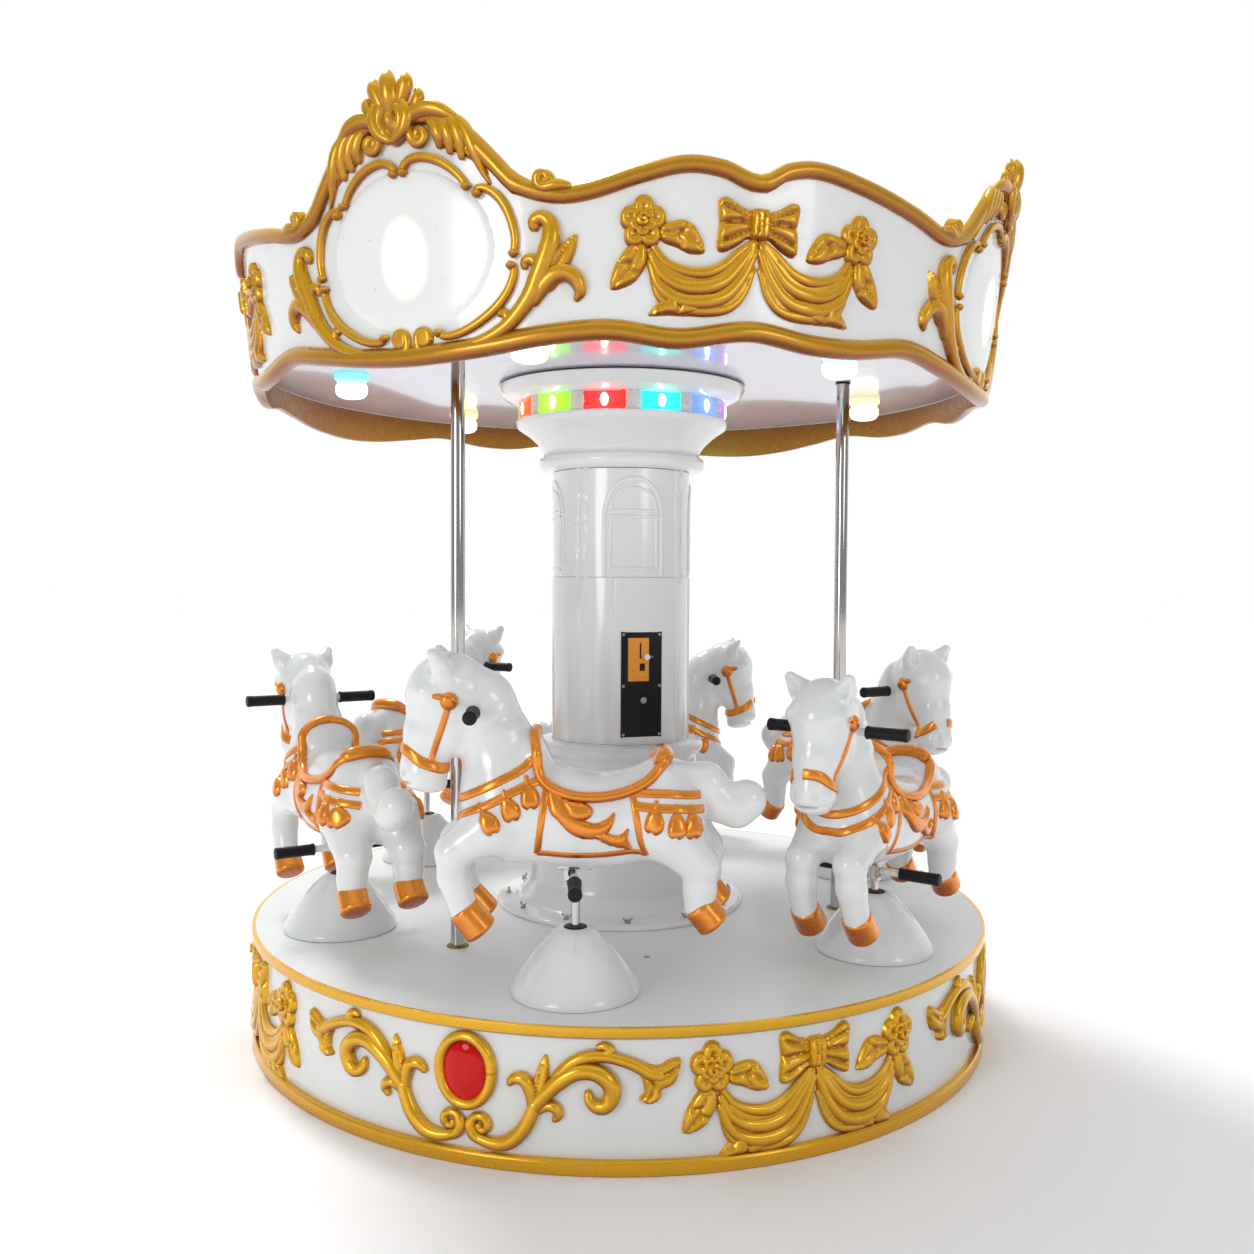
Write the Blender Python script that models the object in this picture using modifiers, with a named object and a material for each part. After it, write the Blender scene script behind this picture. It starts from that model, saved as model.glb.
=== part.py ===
"""Six-seat fairground carousel: fixed drum base, turning deck with column, three poles, crown canopy and six jumping horses.

Metres, +Z up. The origin is the centre of the base on the floor, and the coin panel's side faces -Y.
Angles are measured round the axis from the front (-Y), positive towards the right (+X).
"""

import math

import bmesh
import bpy
from mathutils import Matrix, Vector

MM = 0.001
TOUCH = 0.3 * MM  # gap left between faces that meet

# Base, fixed to the floor
DECK_RADIUS = 1.100
DECK_TOP = 0.336
DECK_THICK = 24 * MM
RIM_THICK = 8 * MM
DECK_GAP = 8 * MM  # running gap between the deck and the fixed drum
HOUSING_RADIUS = 1.083
BASE_RING_HEIGHT = 33 * MM
BEARING_OUTER = 0.30
BEARING_INNER = 0.22
ROUND_SIDES = 72

# Medallions on the drum
MEDALLION_COUNT = 4
MEDALLION_PHASE = -18.6
MEDALLION_LEVEL = 0.214
MEDALLION_HALF_WIDTH = 0.077
MEDALLION_HALF_HEIGHT = 0.093
MEDALLION_RELIEF = 24 * MM

# Column, heights above the deck
FOOT_FLANGE_RADIUS = 0.381
FOOT_RADIUS = 0.278
FOOT_TOP = 0.506
FOOT_COLLAR_RADIUS = 0.258
SHAFT_RADIUS = 0.213
SHAFT_SEAM = 1.000
SHAFT_TOP = 1.320
NECK_RADIUS = 0.2555
LED_RADIUS = 0.322
LED_LOW = 1.476
LED_HIGH = 1.531
CAP_RADIUS = 0.379
CEILING = 1.585
CEILING_THICK = 15 * MM
CAP_SHADOW_GAP = 5 * MM
COLUMN_SIDES = 40

# Coin panel on the column
PANEL_ANGLE = 17.5
PANEL_WIDTH = 0.126
PANEL_LOW = 0.528
PANEL_HIGH = 0.840
PANEL_THICK = 6 * MM

# Poles between deck and ceiling
POLE_COUNT = 3
POLE_PHASE = -40.5
POLE_CIRCLE = 0.672
POLE_RADIUS = 19 * MM
POLE_FLANGE_RADIUS = 31 * MM
POLE_FLANGE_THICK = 5 * MM

# Canopy, heights above the deck; the wall flares outwards as it rises
CREST_COUNT = 4
CREST_PHASE = -26.5
WALL_RADIUS = 1.066
WALL_RADIUS_HEIGHT = 1.5136
WALL_FLARE = 0.13
WALL_THICK = 10 * MM
TOP_RAIL_HEIGHT = 38 * MM
TOP_RAIL_PROUD = 18 * MM
LOW_RAIL_HEIGHT = 46 * MM
LOW_RAIL_PROUD = 22 * MM
FINIAL_HALF_ANGLE = 3.9
FINIAL_HEIGHT = 84 * MM
LENS_RADIUS = 0.085
LENS_HEIGHT_Z = 1.735
# (degrees from a crest's centre to the next, height of the wall's edge)
TOP_EDGE = [(0, 2.030), (3.9, 2.023), (6.5, 2.010), (8.7, 1.982), (10.7, 1.946), (12.8, 1.904), (14.5, 1.870),
            (17, 1.846), (19.8, 1.837), (23, 1.846), (27.9, 1.876), (33.3, 1.902), (37.8, 1.897), (42, 1.873),
            (45, 1.902), (49, 1.915), (55.5, 1.899), (65, 1.864), (70.2, 1.842), (73, 1.846), (75.5, 1.870),
            (77.2, 1.904), (79.3, 1.946), (81.3, 1.982), (83.5, 2.010), (86.1, 2.023), (90, 2.030)]
LOW_EDGE = [(0, 1.477), (10, 1.488), (17, 1.506), (25, 1.516), (33, 1.499), (42, 1.521), (50, 1.503), (57, 1.504),
            (66, 1.524), (74, 1.505), (82, 1.485), (90, 1.477)]

# Ceiling lamps
LAMP_COUNT = 6
LAMP_PHASE = -16.0
LAMP_CIRCLE = 0.814
LAMP_RADIUS = 0.050
LAMP_DROP = 0.068

# Horses and their pedestals; horse heights are above the deck at mid-stroke
HORSE_COUNT = 6
HORSE_PHASE = -7.0
HORSE_CIRCLE = 0.8635
# how far above mid-stroke each horse stands, in order round the deck
HORSE_LIFT = [0.040, -0.025, 0.000, -0.020, 0.030, -0.010]
# how far each horse is turned on its rod from the line of travel, nose outwards, in degrees
HORSE_TURN = [10, 0, 10, 10, 7, 10]
PEDESTAL_RADIUS = 0.157
PEDESTAL_TOP_RADIUS = 0.046
PEDESTAL_HEIGHT = 0.156
PEDESTAL_WALL = 6 * MM
ROD_RADIUS = 11.5 * MM
ROD_CLEARANCE = 0.45 * MM
ROD_LOW = 0.060
SLEEVE_RADIUS = 15 * MM
SLEEVE_LOW = 0.216
MOUNT_PLATE = (0.090, 0.060, 0.010)  # length, width, thickness
MOUNT_PLATE_LOW = 0.262
PEG_HEIGHT = 0.240
PEG_HALF_SPAN = 0.185
HANDLE_FORWARD = 0.240
HANDLE_HEIGHT = 0.642
HANDLE_HALF_SPAN = 0.194
BAR_RADIUS = 10 * MM
GRIP_RADIUS = 15.5 * MM
GRIP_LENGTH = 0.118
HORSE_VOXEL = 13 * MM
HORSE_TRIANGLES = 700

# Parts of the horse's body: centre, half-sizes, pitch in degrees (nose down positive)
HORSE_MASSES = [
    ((-0.028, 0.0, 0.387), (0.240, 0.113, 0.126), 0),
    ((0.165, 0.0, 0.408), (0.108, 0.104, 0.132), 0),
    ((-0.205, 0.0, 0.402), (0.106, 0.116, 0.106), 0),
    ((0.098, 0.0, 0.530), (0.034, 0.080, 0.056), 0),
    ((-0.205, 0.0, 0.490), (0.046, 0.080, 0.044), 0),
    ((0.312, 0.0, 0.694), (0.084, 0.074, 0.080), 0),
    ((0.292, 0.0, 0.612), (0.056, 0.062, 0.084), -12),
    ((0.360, 0.0, 0.490), (0.056, 0.056, 0.043), 8),
]
# Limbs as chains of (x, y, z, radius)
NECK = [(0.150, 0, 0.455, 0.100), (0.188, 0, 0.560, 0.085), (0.226, 0, 0.655, 0.076), (0.290, 0, 0.694, 0.074)]
FACE = [(0.335, 0, 0.665, 0.064), (0.352, 0, 0.590, 0.056), (0.366, 0, 0.520, 0.050)]
TAIL = [(-0.255, 0, 0.470, 0.046), (-0.312, 0, 0.462, 0.050), (-0.350, 0, 0.418, 0.050), (-0.388, 0, 0.404, 0.049),
        (-0.411, 0, 0.421, 0.050)]
EAR = [(0.306, 0.046, 0.722, 0.030), (0.320, 0.064, 0.750, 0.026), (0.334, 0.080, 0.776, 0.016)]
FRONT_LEG = [(0.205, 0.058, 0.372, 0.062), (0.288, 0.066, 0.316, 0.042), (0.286, 0.070, 0.255, 0.038),
             (0.262, 0.072, 0.180, 0.036), (0.224, 0.073, 0.134, 0.041)]
HIND_LEG = [(-0.225, 0.062, 0.350, 0.070), (-0.292, 0.068, 0.278, 0.047), (-0.292, 0.072, 0.220, 0.039),
            (-0.290, 0.072, 0.184, 0.038), (-0.324, 0.073, 0.142, 0.042)]

COLOURS = {
    "white_gelcoat": ((0.90, 0.91, 0.90), 0.18, 0.0),
    "gold_paint": ((0.80, 0.50, 0.07), 0.28, 0.6),
    "chrome": ((0.80, 0.80, 0.82), 0.12, 1.0),
    "black_rubber": ((0.02, 0.02, 0.02), 0.55, 0.0),
    "black_enamel": ((0.03, 0.03, 0.03), 0.35, 0.0),
    "red_cabochon": ((0.75, 0.01, 0.01), 0.10, 0.0),
    "led_acrylic": ((0.90, 0.75, 0.70), 0.15, 0.0),
    "bearing_steel": ((0.35, 0.35, 0.37), 0.35, 1.0),
}


def clear_scene():
    for old in list(bpy.data.objects):
        bpy.data.objects.remove(old, do_unlink=True)


def collection(name):
    made = bpy.data.collections.new(name)
    bpy.context.scene.collection.children.link(made)
    return made


def material(name):
    found = bpy.data.materials.get(name)
    if found:
        return found
    colour, roughness, metallic = COLOURS[name]
    made = bpy.data.materials.new(name)
    made.use_nodes = True
    shader = made.node_tree.nodes["Principled BSDF"]
    shader.inputs["Base Color"].default_value = (*colour, 1)
    shader.inputs["Roughness"].default_value = roughness
    shader.inputs["Metallic"].default_value = metallic
    return made


def new_object(name, mesh, finish, location=(0, 0, 0), turn=0.0, parts=None):
    """Links a mesh as a named object, at a place and turned about Z by degrees."""
    made = bpy.data.objects.new(name, mesh)
    (parts or PARTS).objects.link(made)
    if not mesh.materials:
        mesh.materials.append(material(finish))
    made.location = location
    made.rotation_euler.z = math.radians(turn)
    return made


def round_place(radius, angle, z=0.0):
    """Point on a circle about the axis, at an angle from the front."""
    a = math.radians(angle)
    return Vector((radius * math.sin(a), -radius * math.cos(a), z))


def finished_mesh(made, name):
    """The evaluated mesh of an object, as a new closed mesh with its faces pointing out."""
    bpy.context.view_layer.update()
    graph = bpy.context.evaluated_depsgraph_get()
    mesh = bpy.data.meshes.new_from_object(made.evaluated_get(graph))
    mesh.name = name
    shape = bmesh.new()
    shape.from_mesh(mesh)
    bmesh.ops.remove_doubles(shape, verts=shape.verts, dist=0.00002)
    bmesh.ops.recalc_face_normals(shape, faces=shape.faces)
    shape.to_mesh(mesh)
    shape.free()
    mesh.set_sharp_from_angle(angle=math.radians(35))
    bpy.data.objects.remove(made)
    return mesh


def turned_mesh(name, profile, sides, ring=False):
    """Revolves (radius, height) points about Z with a Screw modifier; a ring's profile is closed."""
    mesh = bpy.data.meshes.new(name)
    shape = bmesh.new()
    verts = [shape.verts.new((r, 0, z)) for r, z in profile]
    for a, b in zip(verts, verts[1:]):
        shape.edges.new((a, b))
    if ring:
        shape.edges.new((verts[-1], verts[0]))
    shape.to_mesh(mesh)
    shape.free()
    made = bpy.data.objects.new(name, mesh)
    SCRATCH.objects.link(made)
    screw = made.modifiers.new("Turn", "SCREW")
    screw.steps = screw.render_steps = sides
    screw.use_merge_vertices = True
    screw.merge_threshold = 0.00005
    return finished_mesh(made, name)


def box_mesh(name, size, centre):
    mesh = bpy.data.meshes.new(name)
    shape = bmesh.new()
    bmesh.ops.create_cube(shape, size=1.0, matrix=Matrix.Translation(centre) @ Matrix.Diagonal((*size, 1)))
    shape.to_mesh(mesh)
    shape.free()
    return mesh


def rod_mesh(name, start, end, radius, sides):
    """A straight round bar between two points."""
    start, end = Vector(start), Vector(end)
    along = end - start
    turn = along.to_track_quat("Z", "Y").to_matrix().to_4x4()
    mesh = bpy.data.meshes.new(name)
    shape = bmesh.new()
    bmesh.ops.create_cone(shape, cap_ends=True, segments=sides, radius1=radius, radius2=radius, depth=along.length,
                          matrix=Matrix.Translation((start + end) / 2) @ turn)
    shape.to_mesh(mesh)
    shape.free()
    return mesh


def joined(name, meshes, kind="UNION"):
    """Boolean of the first mesh with each of the others in turn."""
    base = bpy.data.objects.new(name, meshes[0])
    SCRATCH.objects.link(base)
    for other in meshes[1:]:
        tool = bpy.data.objects.new("tool", other)
        SCRATCH.objects.link(tool)
        cut = base.modifiers.new("Join", "BOOLEAN")
        cut.operation = kind
        cut.object = tool
        mesh = finished_mesh(base, name)
        bpy.data.objects.remove(tool)
        base = bpy.data.objects.new(name, mesh)
        SCRATCH.objects.link(base)
    mesh = base.data
    bpy.data.objects.remove(base)
    return mesh


def smooth_value(points, at):
    """Height at an angle on a smooth line through (angle, height) points, which repeats past its last point."""
    period = points[-1][0]
    at %= period
    i = max(k for k in range(len(points) - 1) if points[k][0] <= at)
    x0, y0 = points[i]
    x1, y1 = points[i + 1]
    before = points[i - 1] if i else (points[-2][0] - period, points[-2][1])
    after = points[i + 2] if i + 2 < len(points) else (points[1][0] + period, points[1][1])
    slope0 = (y1 - before[1]) / (x1 - before[0])
    slope1 = (after[1] - y0) / (after[0] - x0)
    span = x1 - x0
    t = (at - x0) / span
    return ((2 * t**3 - 3 * t**2 + 1) * y0 + (t**3 - 2 * t**2 + t) * span * slope0
            + (3 * t**2 - 2 * t**3) * y1 + (t**3 - t**2) * span * slope1)


def wall_radius(z):
    """Outer radius of the canopy's wall at a height above the deck."""
    return WALL_RADIUS + WALL_FLARE * (z - WALL_RADIUS_HEIGHT)


def build_base():
    top = DECK_TOP - DECK_THICK - DECK_GAP
    housing = turned_mesh("base_housing", [(0, top), (HOUSING_RADIUS, top), (HOUSING_RADIUS, 0), (0, 0)], ROUND_SIDES)
    new_object("base_housing", housing, "white_gelcoat")

    inner = HOUSING_RADIUS + TOUCH
    lip = 5 * MM
    ring = turned_mesh("base_ring", [(inner, BASE_RING_HEIGHT), (DECK_RADIUS - lip, BASE_RING_HEIGHT),
                                     (DECK_RADIUS, BASE_RING_HEIGHT - lip), (DECK_RADIUS, 0), (inner, 0)],
                       ROUND_SIDES, ring=True)
    new_object("base_ring", ring, "gold_paint")

    low, high = top + TOUCH, DECK_TOP - DECK_THICK - TOUCH
    bearing = turned_mesh("slewing_bearing", [(BEARING_INNER, high), (BEARING_OUTER, high), (BEARING_OUTER, low),
                                              (BEARING_INNER, low)], 32, ring=True)
    new_object("slewing_bearing", bearing, "bearing_steel")

    mesh = medallion_mesh()
    for i in range(MEDALLION_COUNT):
        angle = MEDALLION_PHASE + i * 360 / MEDALLION_COUNT
        new_object(f"base_medallion_{i + 1}", mesh, "red_cabochon",
                   round_place(HOUSING_RADIUS + TOUCH, angle, MEDALLION_LEVEL), angle)


def medallion_mesh():
    """Oval frame with a domed stone, its flat back at y = 0 and its face towards -Y."""
    sides = 24
    dome = turned_mesh("medallion", [(0, 1.0), (0.45, 0.92), (0.74, 0.62), (0.80, 0.45), (0.90, 0.62), (1.0, 0.30),
                                     (1.0, 0), (0, 0)], sides)
    dome.transform(Matrix.Diagonal((MEDALLION_HALF_WIDTH, MEDALLION_HALF_HEIGHT, MEDALLION_RELIEF, 1)))
    dome.transform(Matrix.Rotation(math.radians(90), 4, "X"))
    return dome


def build_deck():
    deck_radius = DECK_RADIUS - RIM_THICK - TOUCH
    deck = turned_mesh("deck", [(0, DECK_TOP), (deck_radius, DECK_TOP), (deck_radius, DECK_TOP - DECK_THICK),
                                (0, DECK_TOP - DECK_THICK)], ROUND_SIDES)
    new_object("deck", deck, "white_gelcoat")
    inner = DECK_RADIUS - RIM_THICK
    rim = turned_mesh("deck_rim", [(inner, DECK_TOP), (DECK_RADIUS, DECK_TOP), (DECK_RADIUS, DECK_TOP - DECK_THICK),
                                   (inner, DECK_TOP - DECK_THICK)], ROUND_SIDES, ring=True)
    new_object("deck_rim", rim, "gold_paint")


def build_column():
    z = DECK_TOP
    foot = turned_mesh("column_foot", [
        (0, z + FOOT_TOP), (SHAFT_RADIUS, z + FOOT_TOP), (FOOT_COLLAR_RADIUS - 8 * MM, z + FOOT_TOP - 4 * MM),
        (FOOT_COLLAR_RADIUS, z + FOOT_TOP - 22 * MM), (FOOT_COLLAR_RADIUS - 8 * MM, z + FOOT_TOP - 40 * MM),
        (0.236, z + FOOT_TOP - 52 * MM), (0.246, z + 0.30), (FOOT_RADIUS, z + 0.07), (0.312, z + 0.022),
        (FOOT_FLANGE_RADIUS - 6 * MM, z + 14 * MM), (FOOT_FLANGE_RADIUS, z + 8 * MM),
        (FOOT_FLANGE_RADIUS, z + TOUCH), (0, z + TOUCH)], COLUMN_SIDES)
    new_object("column_foot", foot, "white_gelcoat")

    lower = turned_mesh("column_lower", [(0, z + SHAFT_SEAM), (SHAFT_RADIUS, z + SHAFT_SEAM),
                                         (SHAFT_RADIUS, z + FOOT_TOP + TOUCH), (0, z + FOOT_TOP + TOUCH)],
                        COLUMN_SIDES)
    flat = SHAFT_RADIUS * math.cos(math.asin(PANEL_WIDTH / 2 / SHAFT_RADIUS)) - 3 * MM
    depth = 0.08
    pocket = box_mesh("pocket", (PANEL_WIDTH + 2 * TOUCH, depth, PANEL_HIGH - PANEL_LOW + 2 * TOUCH),
                      (0, -(flat + depth / 2), z + (PANEL_LOW + PANEL_HIGH) / 2))
    pocket.transform(Matrix.Rotation(math.radians(PANEL_ANGLE), 4, "Z"))
    lower = joined("column_lower", [lower, pocket], "DIFFERENCE")
    new_object("column_lower", lower, "white_gelcoat")
    panel = box_mesh("coin_panel", (PANEL_WIDTH, PANEL_THICK, PANEL_HIGH - PANEL_LOW),
                     (0, -(flat + TOUCH + PANEL_THICK / 2), z + (PANEL_LOW + PANEL_HIGH) / 2))
    slot_size = (0.064, 0.010, 0.128)
    face = box_mesh("coin_slot", slot_size,
                    (-0.011, -(flat + TOUCH + PANEL_THICK + slot_size[1] / 2 - 2 * MM), z + PANEL_HIGH - 0.082))
    panel = joined("coin_panel", [panel, face])
    new_object("coin_panel", panel, "black_enamel", turn=PANEL_ANGLE)

    upper = turned_mesh("column_upper", [(0, z + SHAFT_TOP), (SHAFT_RADIUS - 3 * MM, z + SHAFT_TOP),
                                         (SHAFT_RADIUS - 3 * MM, z + SHAFT_SEAM + TOUCH),
                                         (0, z + SHAFT_SEAM + TOUCH)], COLUMN_SIDES)
    new_object("column_upper", upper, "white_gelcoat")

    groove = LED_RADIUS - 22 * MM
    capital = turned_mesh("capital", [
        (0, z + CEILING - TOUCH), (CAP_RADIUS - 0.05, z + CEILING - TOUCH),
        (CAP_RADIUS - 0.05, z + CEILING - CAP_SHADOW_GAP), (CAP_RADIUS, z + CEILING - CAP_SHADOW_GAP),
        (CAP_RADIUS - 3 * MM, z + CEILING - 14 * MM), (CAP_RADIUS - 16 * MM, z + LED_HIGH + 16 * MM),
        (LED_RADIUS + 4 * MM, z + LED_HIGH), (groove, z + LED_HIGH), (groove, z + LED_LOW),
        (LED_RADIUS + 5 * MM, z + LED_LOW), (LED_RADIUS, z + 1.456), (0.285, z + 1.432), (0.256, z + 1.405),
        (0.2385, z + 1.380), (0.240, z + 1.366), (NECK_RADIUS - 3 * MM, z + 1.362), (NECK_RADIUS, z + 1.344),
        (NECK_RADIUS - 6 * MM, z + 1.326), (SHAFT_RADIUS, z + SHAFT_TOP + TOUCH), (0, z + SHAFT_TOP + TOUCH)],
        COLUMN_SIDES)
    new_object("capital", capital, "white_gelcoat")
    band = turned_mesh("led_band", [(groove + TOUCH, z + LED_HIGH - TOUCH), (LED_RADIUS, z + LED_HIGH - TOUCH),
                                    (LED_RADIUS, z + LED_LOW + TOUCH), (groove + TOUCH, z + LED_LOW + TOUCH)],
                       COLUMN_SIDES, ring=True)
    new_object("led_band", band, "led_acrylic")


def build_poles():
    low, high = DECK_TOP + TOUCH, DECK_TOP + CEILING - TOUCH
    pole = turned_mesh("pole", [(0, high), (POLE_RADIUS + 3 * MM, high), (POLE_RADIUS + 3 * MM, high - 4 * MM),
                                (POLE_RADIUS, high - 5 * MM), (POLE_RADIUS, low + POLE_FLANGE_THICK),
                                (POLE_FLANGE_RADIUS, low + POLE_FLANGE_THICK), (POLE_FLANGE_RADIUS, low), (0, low)],
                       16)
    for i in range(POLE_COUNT):
        angle = POLE_PHASE + i * 360 / POLE_COUNT
        new_object(f"pole_{i + 1}", pole, "chrome", round_place(POLE_CIRCLE, angle))


def build_ceiling():
    low, high = DECK_TOP + CEILING, DECK_TOP + CEILING + CEILING_THICK
    radius = wall_radius(CEILING) - WALL_THICK - TOUCH - 1 * MM
    ceiling = turned_mesh("ceiling", [(0, high), (radius, high), (radius, low), (0, low)], ROUND_SIDES)
    lamps = []
    for i in range(LAMP_COUNT):
        lamp = turned_mesh("lamp", [(0, 0.005), (LAMP_RADIUS * 0.8, 0.005), (LAMP_RADIUS * 0.8, -LAMP_DROP * 0.45),
                                    (LAMP_RADIUS, -LAMP_DROP * 0.5), (LAMP_RADIUS * 0.94, -LAMP_DROP),
                                    (0, -LAMP_DROP)], 16)
        place = round_place(LAMP_CIRCLE, LAMP_PHASE + i * 360 / LAMP_COUNT, low)
        lamp.transform(Matrix.Translation(place))
        lamps.append(lamp)
    new_object("ceiling", joined("ceiling", [ceiling, *lamps]), "white_gelcoat")


def canopy_section(angle):
    """Closed outline of the canopy's wall at an angle from the crest: low rail, wall, top rail, back."""
    low = smooth_value(LOW_EDGE, angle)
    high = smooth_value(TOP_EDGE, angle)
    if abs(angle) < FINIAL_HALF_ANGLE:
        high += FINIAL_HEIGHT * math.sqrt(1 - (angle / FINIAL_HALF_ANGLE) ** 2)
    face = 3 * MM
    return [
        (wall_radius(low) - WALL_THICK, low),
        (wall_radius(low) + LOW_RAIL_PROUD * 0.6, low),
        (wall_radius(low) + LOW_RAIL_PROUD, low + LOW_RAIL_HEIGHT * 0.28),
        (wall_radius(low) + LOW_RAIL_PROUD, low + LOW_RAIL_HEIGHT * 0.7),
        (wall_radius(low + LOW_RAIL_HEIGHT) + face, low + LOW_RAIL_HEIGHT),
        (wall_radius(high - TOP_RAIL_HEIGHT) + face, high - TOP_RAIL_HEIGHT),
        (wall_radius(high) + TOP_RAIL_PROUD, high - TOP_RAIL_HEIGHT * 0.7),
        (wall_radius(high) + TOP_RAIL_PROUD, high - TOP_RAIL_HEIGHT * 0.25),
        (wall_radius(high), high),
        (wall_radius(high) - WALL_THICK, high),
    ]


def canopy_panel_mesh():
    """A quarter of the crown wall, its crest at the front, lofted through sections of unlike height."""
    end_gap = math.degrees(TOUCH / 2 / WALL_RADIUS)
    half = 180 / CREST_COUNT - end_gap
    steps = [0, 1.3, 2.6, 3.5, 3.9, 6, 8, 10, 12, 14, 16, 18, 20, 22, 25, 28, 31, 34, 37, 39.5, 42, 43.5]
    angles = sorted({-a for a in steps} | set(steps) | {-half, half})
    shape = bmesh.new()
    loops = []
    for angle in angles:
        section = canopy_section(angle)
        loops.append([shape.verts.new(round_place(r, angle, z)) for r, z in section])
    for a, b in zip(loops, loops[1:]):
        for i in range(len(a)):
            j = (i + 1) % len(a)
            shape.faces.new((a[i], b[i], b[j], a[j]))
    shape.faces.new(loops[0])
    shape.faces.new(reversed(loops[-1]))
    bmesh.ops.recalc_face_normals(shape, faces=shape.faces)
    mesh = bpy.data.meshes.new("canopy_panel")
    shape.to_mesh(mesh)
    shape.free()
    lens = turned_mesh("lens", [(0, 1.0), (0.6, 0.85), (1.0, 0.35), (1.0, -0.6), (0, -0.6)], 20)
    lens.transform(Matrix.Diagonal((LENS_RADIUS, LENS_RADIUS, 14 * MM, 1)))
    lens.transform(Matrix.Rotation(math.radians(90) + math.atan(WALL_FLARE), 4, "X"))
    lens.transform(Matrix.Translation((0, -wall_radius(LENS_HEIGHT_Z) - 2 * MM, LENS_HEIGHT_Z)))
    return joined("canopy_panel", [mesh, lens])


def build_canopy():
    mesh = canopy_panel_mesh()
    for i in range(CREST_COUNT):
        angle = CREST_PHASE + i * 360 / CREST_COUNT
        new_object(f"canopy_panel_{i + 1}", mesh, "gold_paint", (0, 0, DECK_TOP), angle)


def tapered_chain(shape, chain, mirror=False):
    """Adds balls and cones along a chain of (x, y, z, radius) to a bmesh."""
    sign = -1 if mirror else 1
    for x, y, z, radius in chain:
        bmesh.ops.create_uvsphere(shape, u_segments=20, v_segments=12, radius=radius,
                                  matrix=Matrix.Translation((x, sign * y, z)))
    for a, b in zip(chain, chain[1:]):
        start, end = Vector((a[0], sign * a[1], a[2])), Vector((b[0], sign * b[1], b[2]))
        along = end - start
        turn = along.to_track_quat("Z", "Y").to_matrix().to_4x4()
        bmesh.ops.create_cone(shape, cap_ends=True, segments=20, radius1=a[3], radius2=b[3], depth=along.length,
                              matrix=Matrix.Translation((start + end) / 2) @ turn)


def horse_mesh():
    """The horse's body: overlapping masses and limbs fused by a voxel remesh, then simplified."""
    shape = bmesh.new()
    for centre, half, pitch in HORSE_MASSES:
        place = (Matrix.Translation(centre) @ Matrix.Rotation(math.radians(pitch), 4, "Y")
                 @ Matrix.Diagonal((*half, 1)))
        bmesh.ops.create_uvsphere(shape, u_segments=24, v_segments=16, radius=1.0, matrix=place)
    for chain in (NECK, FACE, TAIL):
        tapered_chain(shape, chain)
    for chain in (FRONT_LEG, HIND_LEG, EAR):
        tapered_chain(shape, chain)
        tapered_chain(shape, chain, mirror=True)
    mesh = bpy.data.meshes.new("horse")
    shape.to_mesh(mesh)
    shape.free()
    made = bpy.data.objects.new("horse", mesh)
    SCRATCH.objects.link(made)
    remesh = made.modifiers.new("Fuse", "REMESH")
    remesh.mode = "VOXEL"
    remesh.voxel_size = HORSE_VOXEL
    soften = made.modifiers.new("Soften", "SMOOTH")
    soften.factor = 0.5
    soften.iterations = 2
    fused = finished_mesh(made, "horse")
    fused.calc_loop_triangles()
    ratio = HORSE_TRIANGLES / len(fused.loop_triangles)
    made = bpy.data.objects.new("horse", fused)
    SCRATCH.objects.link(made)
    simplify = made.modifiers.new("Simplify", "DECIMATE")
    simplify.ratio = ratio
    simplified = finished_mesh(made, "horse")
    bar_hole = rod_mesh("bar_hole", (HANDLE_FORWARD, -0.2, HANDLE_HEIGHT), (HANDLE_FORWARD, 0.2, HANDLE_HEIGHT),
                        BAR_RADIUS + TOUCH, 12)
    length, width, thick = MOUNT_PLATE
    seat_low = MOUNT_PLATE_LOW - 0.05
    seat_high = MOUNT_PLATE_LOW + thick + TOUCH
    seat = box_mesh("seat", (length + 2 * TOUCH, width + 2 * TOUCH, seat_high - seat_low),
                    (0, 0, (seat_low + seat_high) / 2))
    return joined("horse", [simplified, bar_hole, seat], "DIFFERENCE")


def handlebar_mesh():
    """Straight steel bar through the head with a rubber grip on each end."""
    x, z, y = HANDLE_FORWARD, HANDLE_HEIGHT, HANDLE_HALF_SPAN
    bar = rod_mesh("handlebar", (x, -y + 0.01, z), (x, y - 0.01, z), BAR_RADIUS, 12)
    grips = [rod_mesh("grip", (x, side * (y - GRIP_LENGTH), z), (x, side * y, z), GRIP_RADIUS, 12)
             for side in (-1, 1)]
    return joined("handlebar", [bar, *grips])


def mount_mesh():
    """Steel rod with its sleeve, the plate under the belly and the two foot pegs, welded as one."""
    length, width, thick = MOUNT_PLATE
    plate = box_mesh("mount", MOUNT_PLATE, (0, 0, MOUNT_PLATE_LOW + thick / 2))
    rod = rod_mesh("rod", (0, 0, ROD_LOW), (0, 0, MOUNT_PLATE_LOW + thick / 2), ROD_RADIUS, 16)
    sleeve = rod_mesh("sleeve", (0, 0, SLEEVE_LOW), (0, 0, MOUNT_PLATE_LOW + thick / 3), SLEEVE_RADIUS, 16)
    y = PEG_HALF_SPAN
    bar = rod_mesh("peg_bar", (0.004, -y + 0.01, PEG_HEIGHT), (0.004, y - 0.01, PEG_HEIGHT), BAR_RADIUS, 12)
    grips = [rod_mesh("peg", (0.004, side * (y - GRIP_LENGTH + 0.008), PEG_HEIGHT), (0.004, side * y, PEG_HEIGHT),
                      GRIP_RADIUS, 12) for side in (-1, 1)]
    return joined("mount", [plate, rod, sleeve, bar, *grips])


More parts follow.
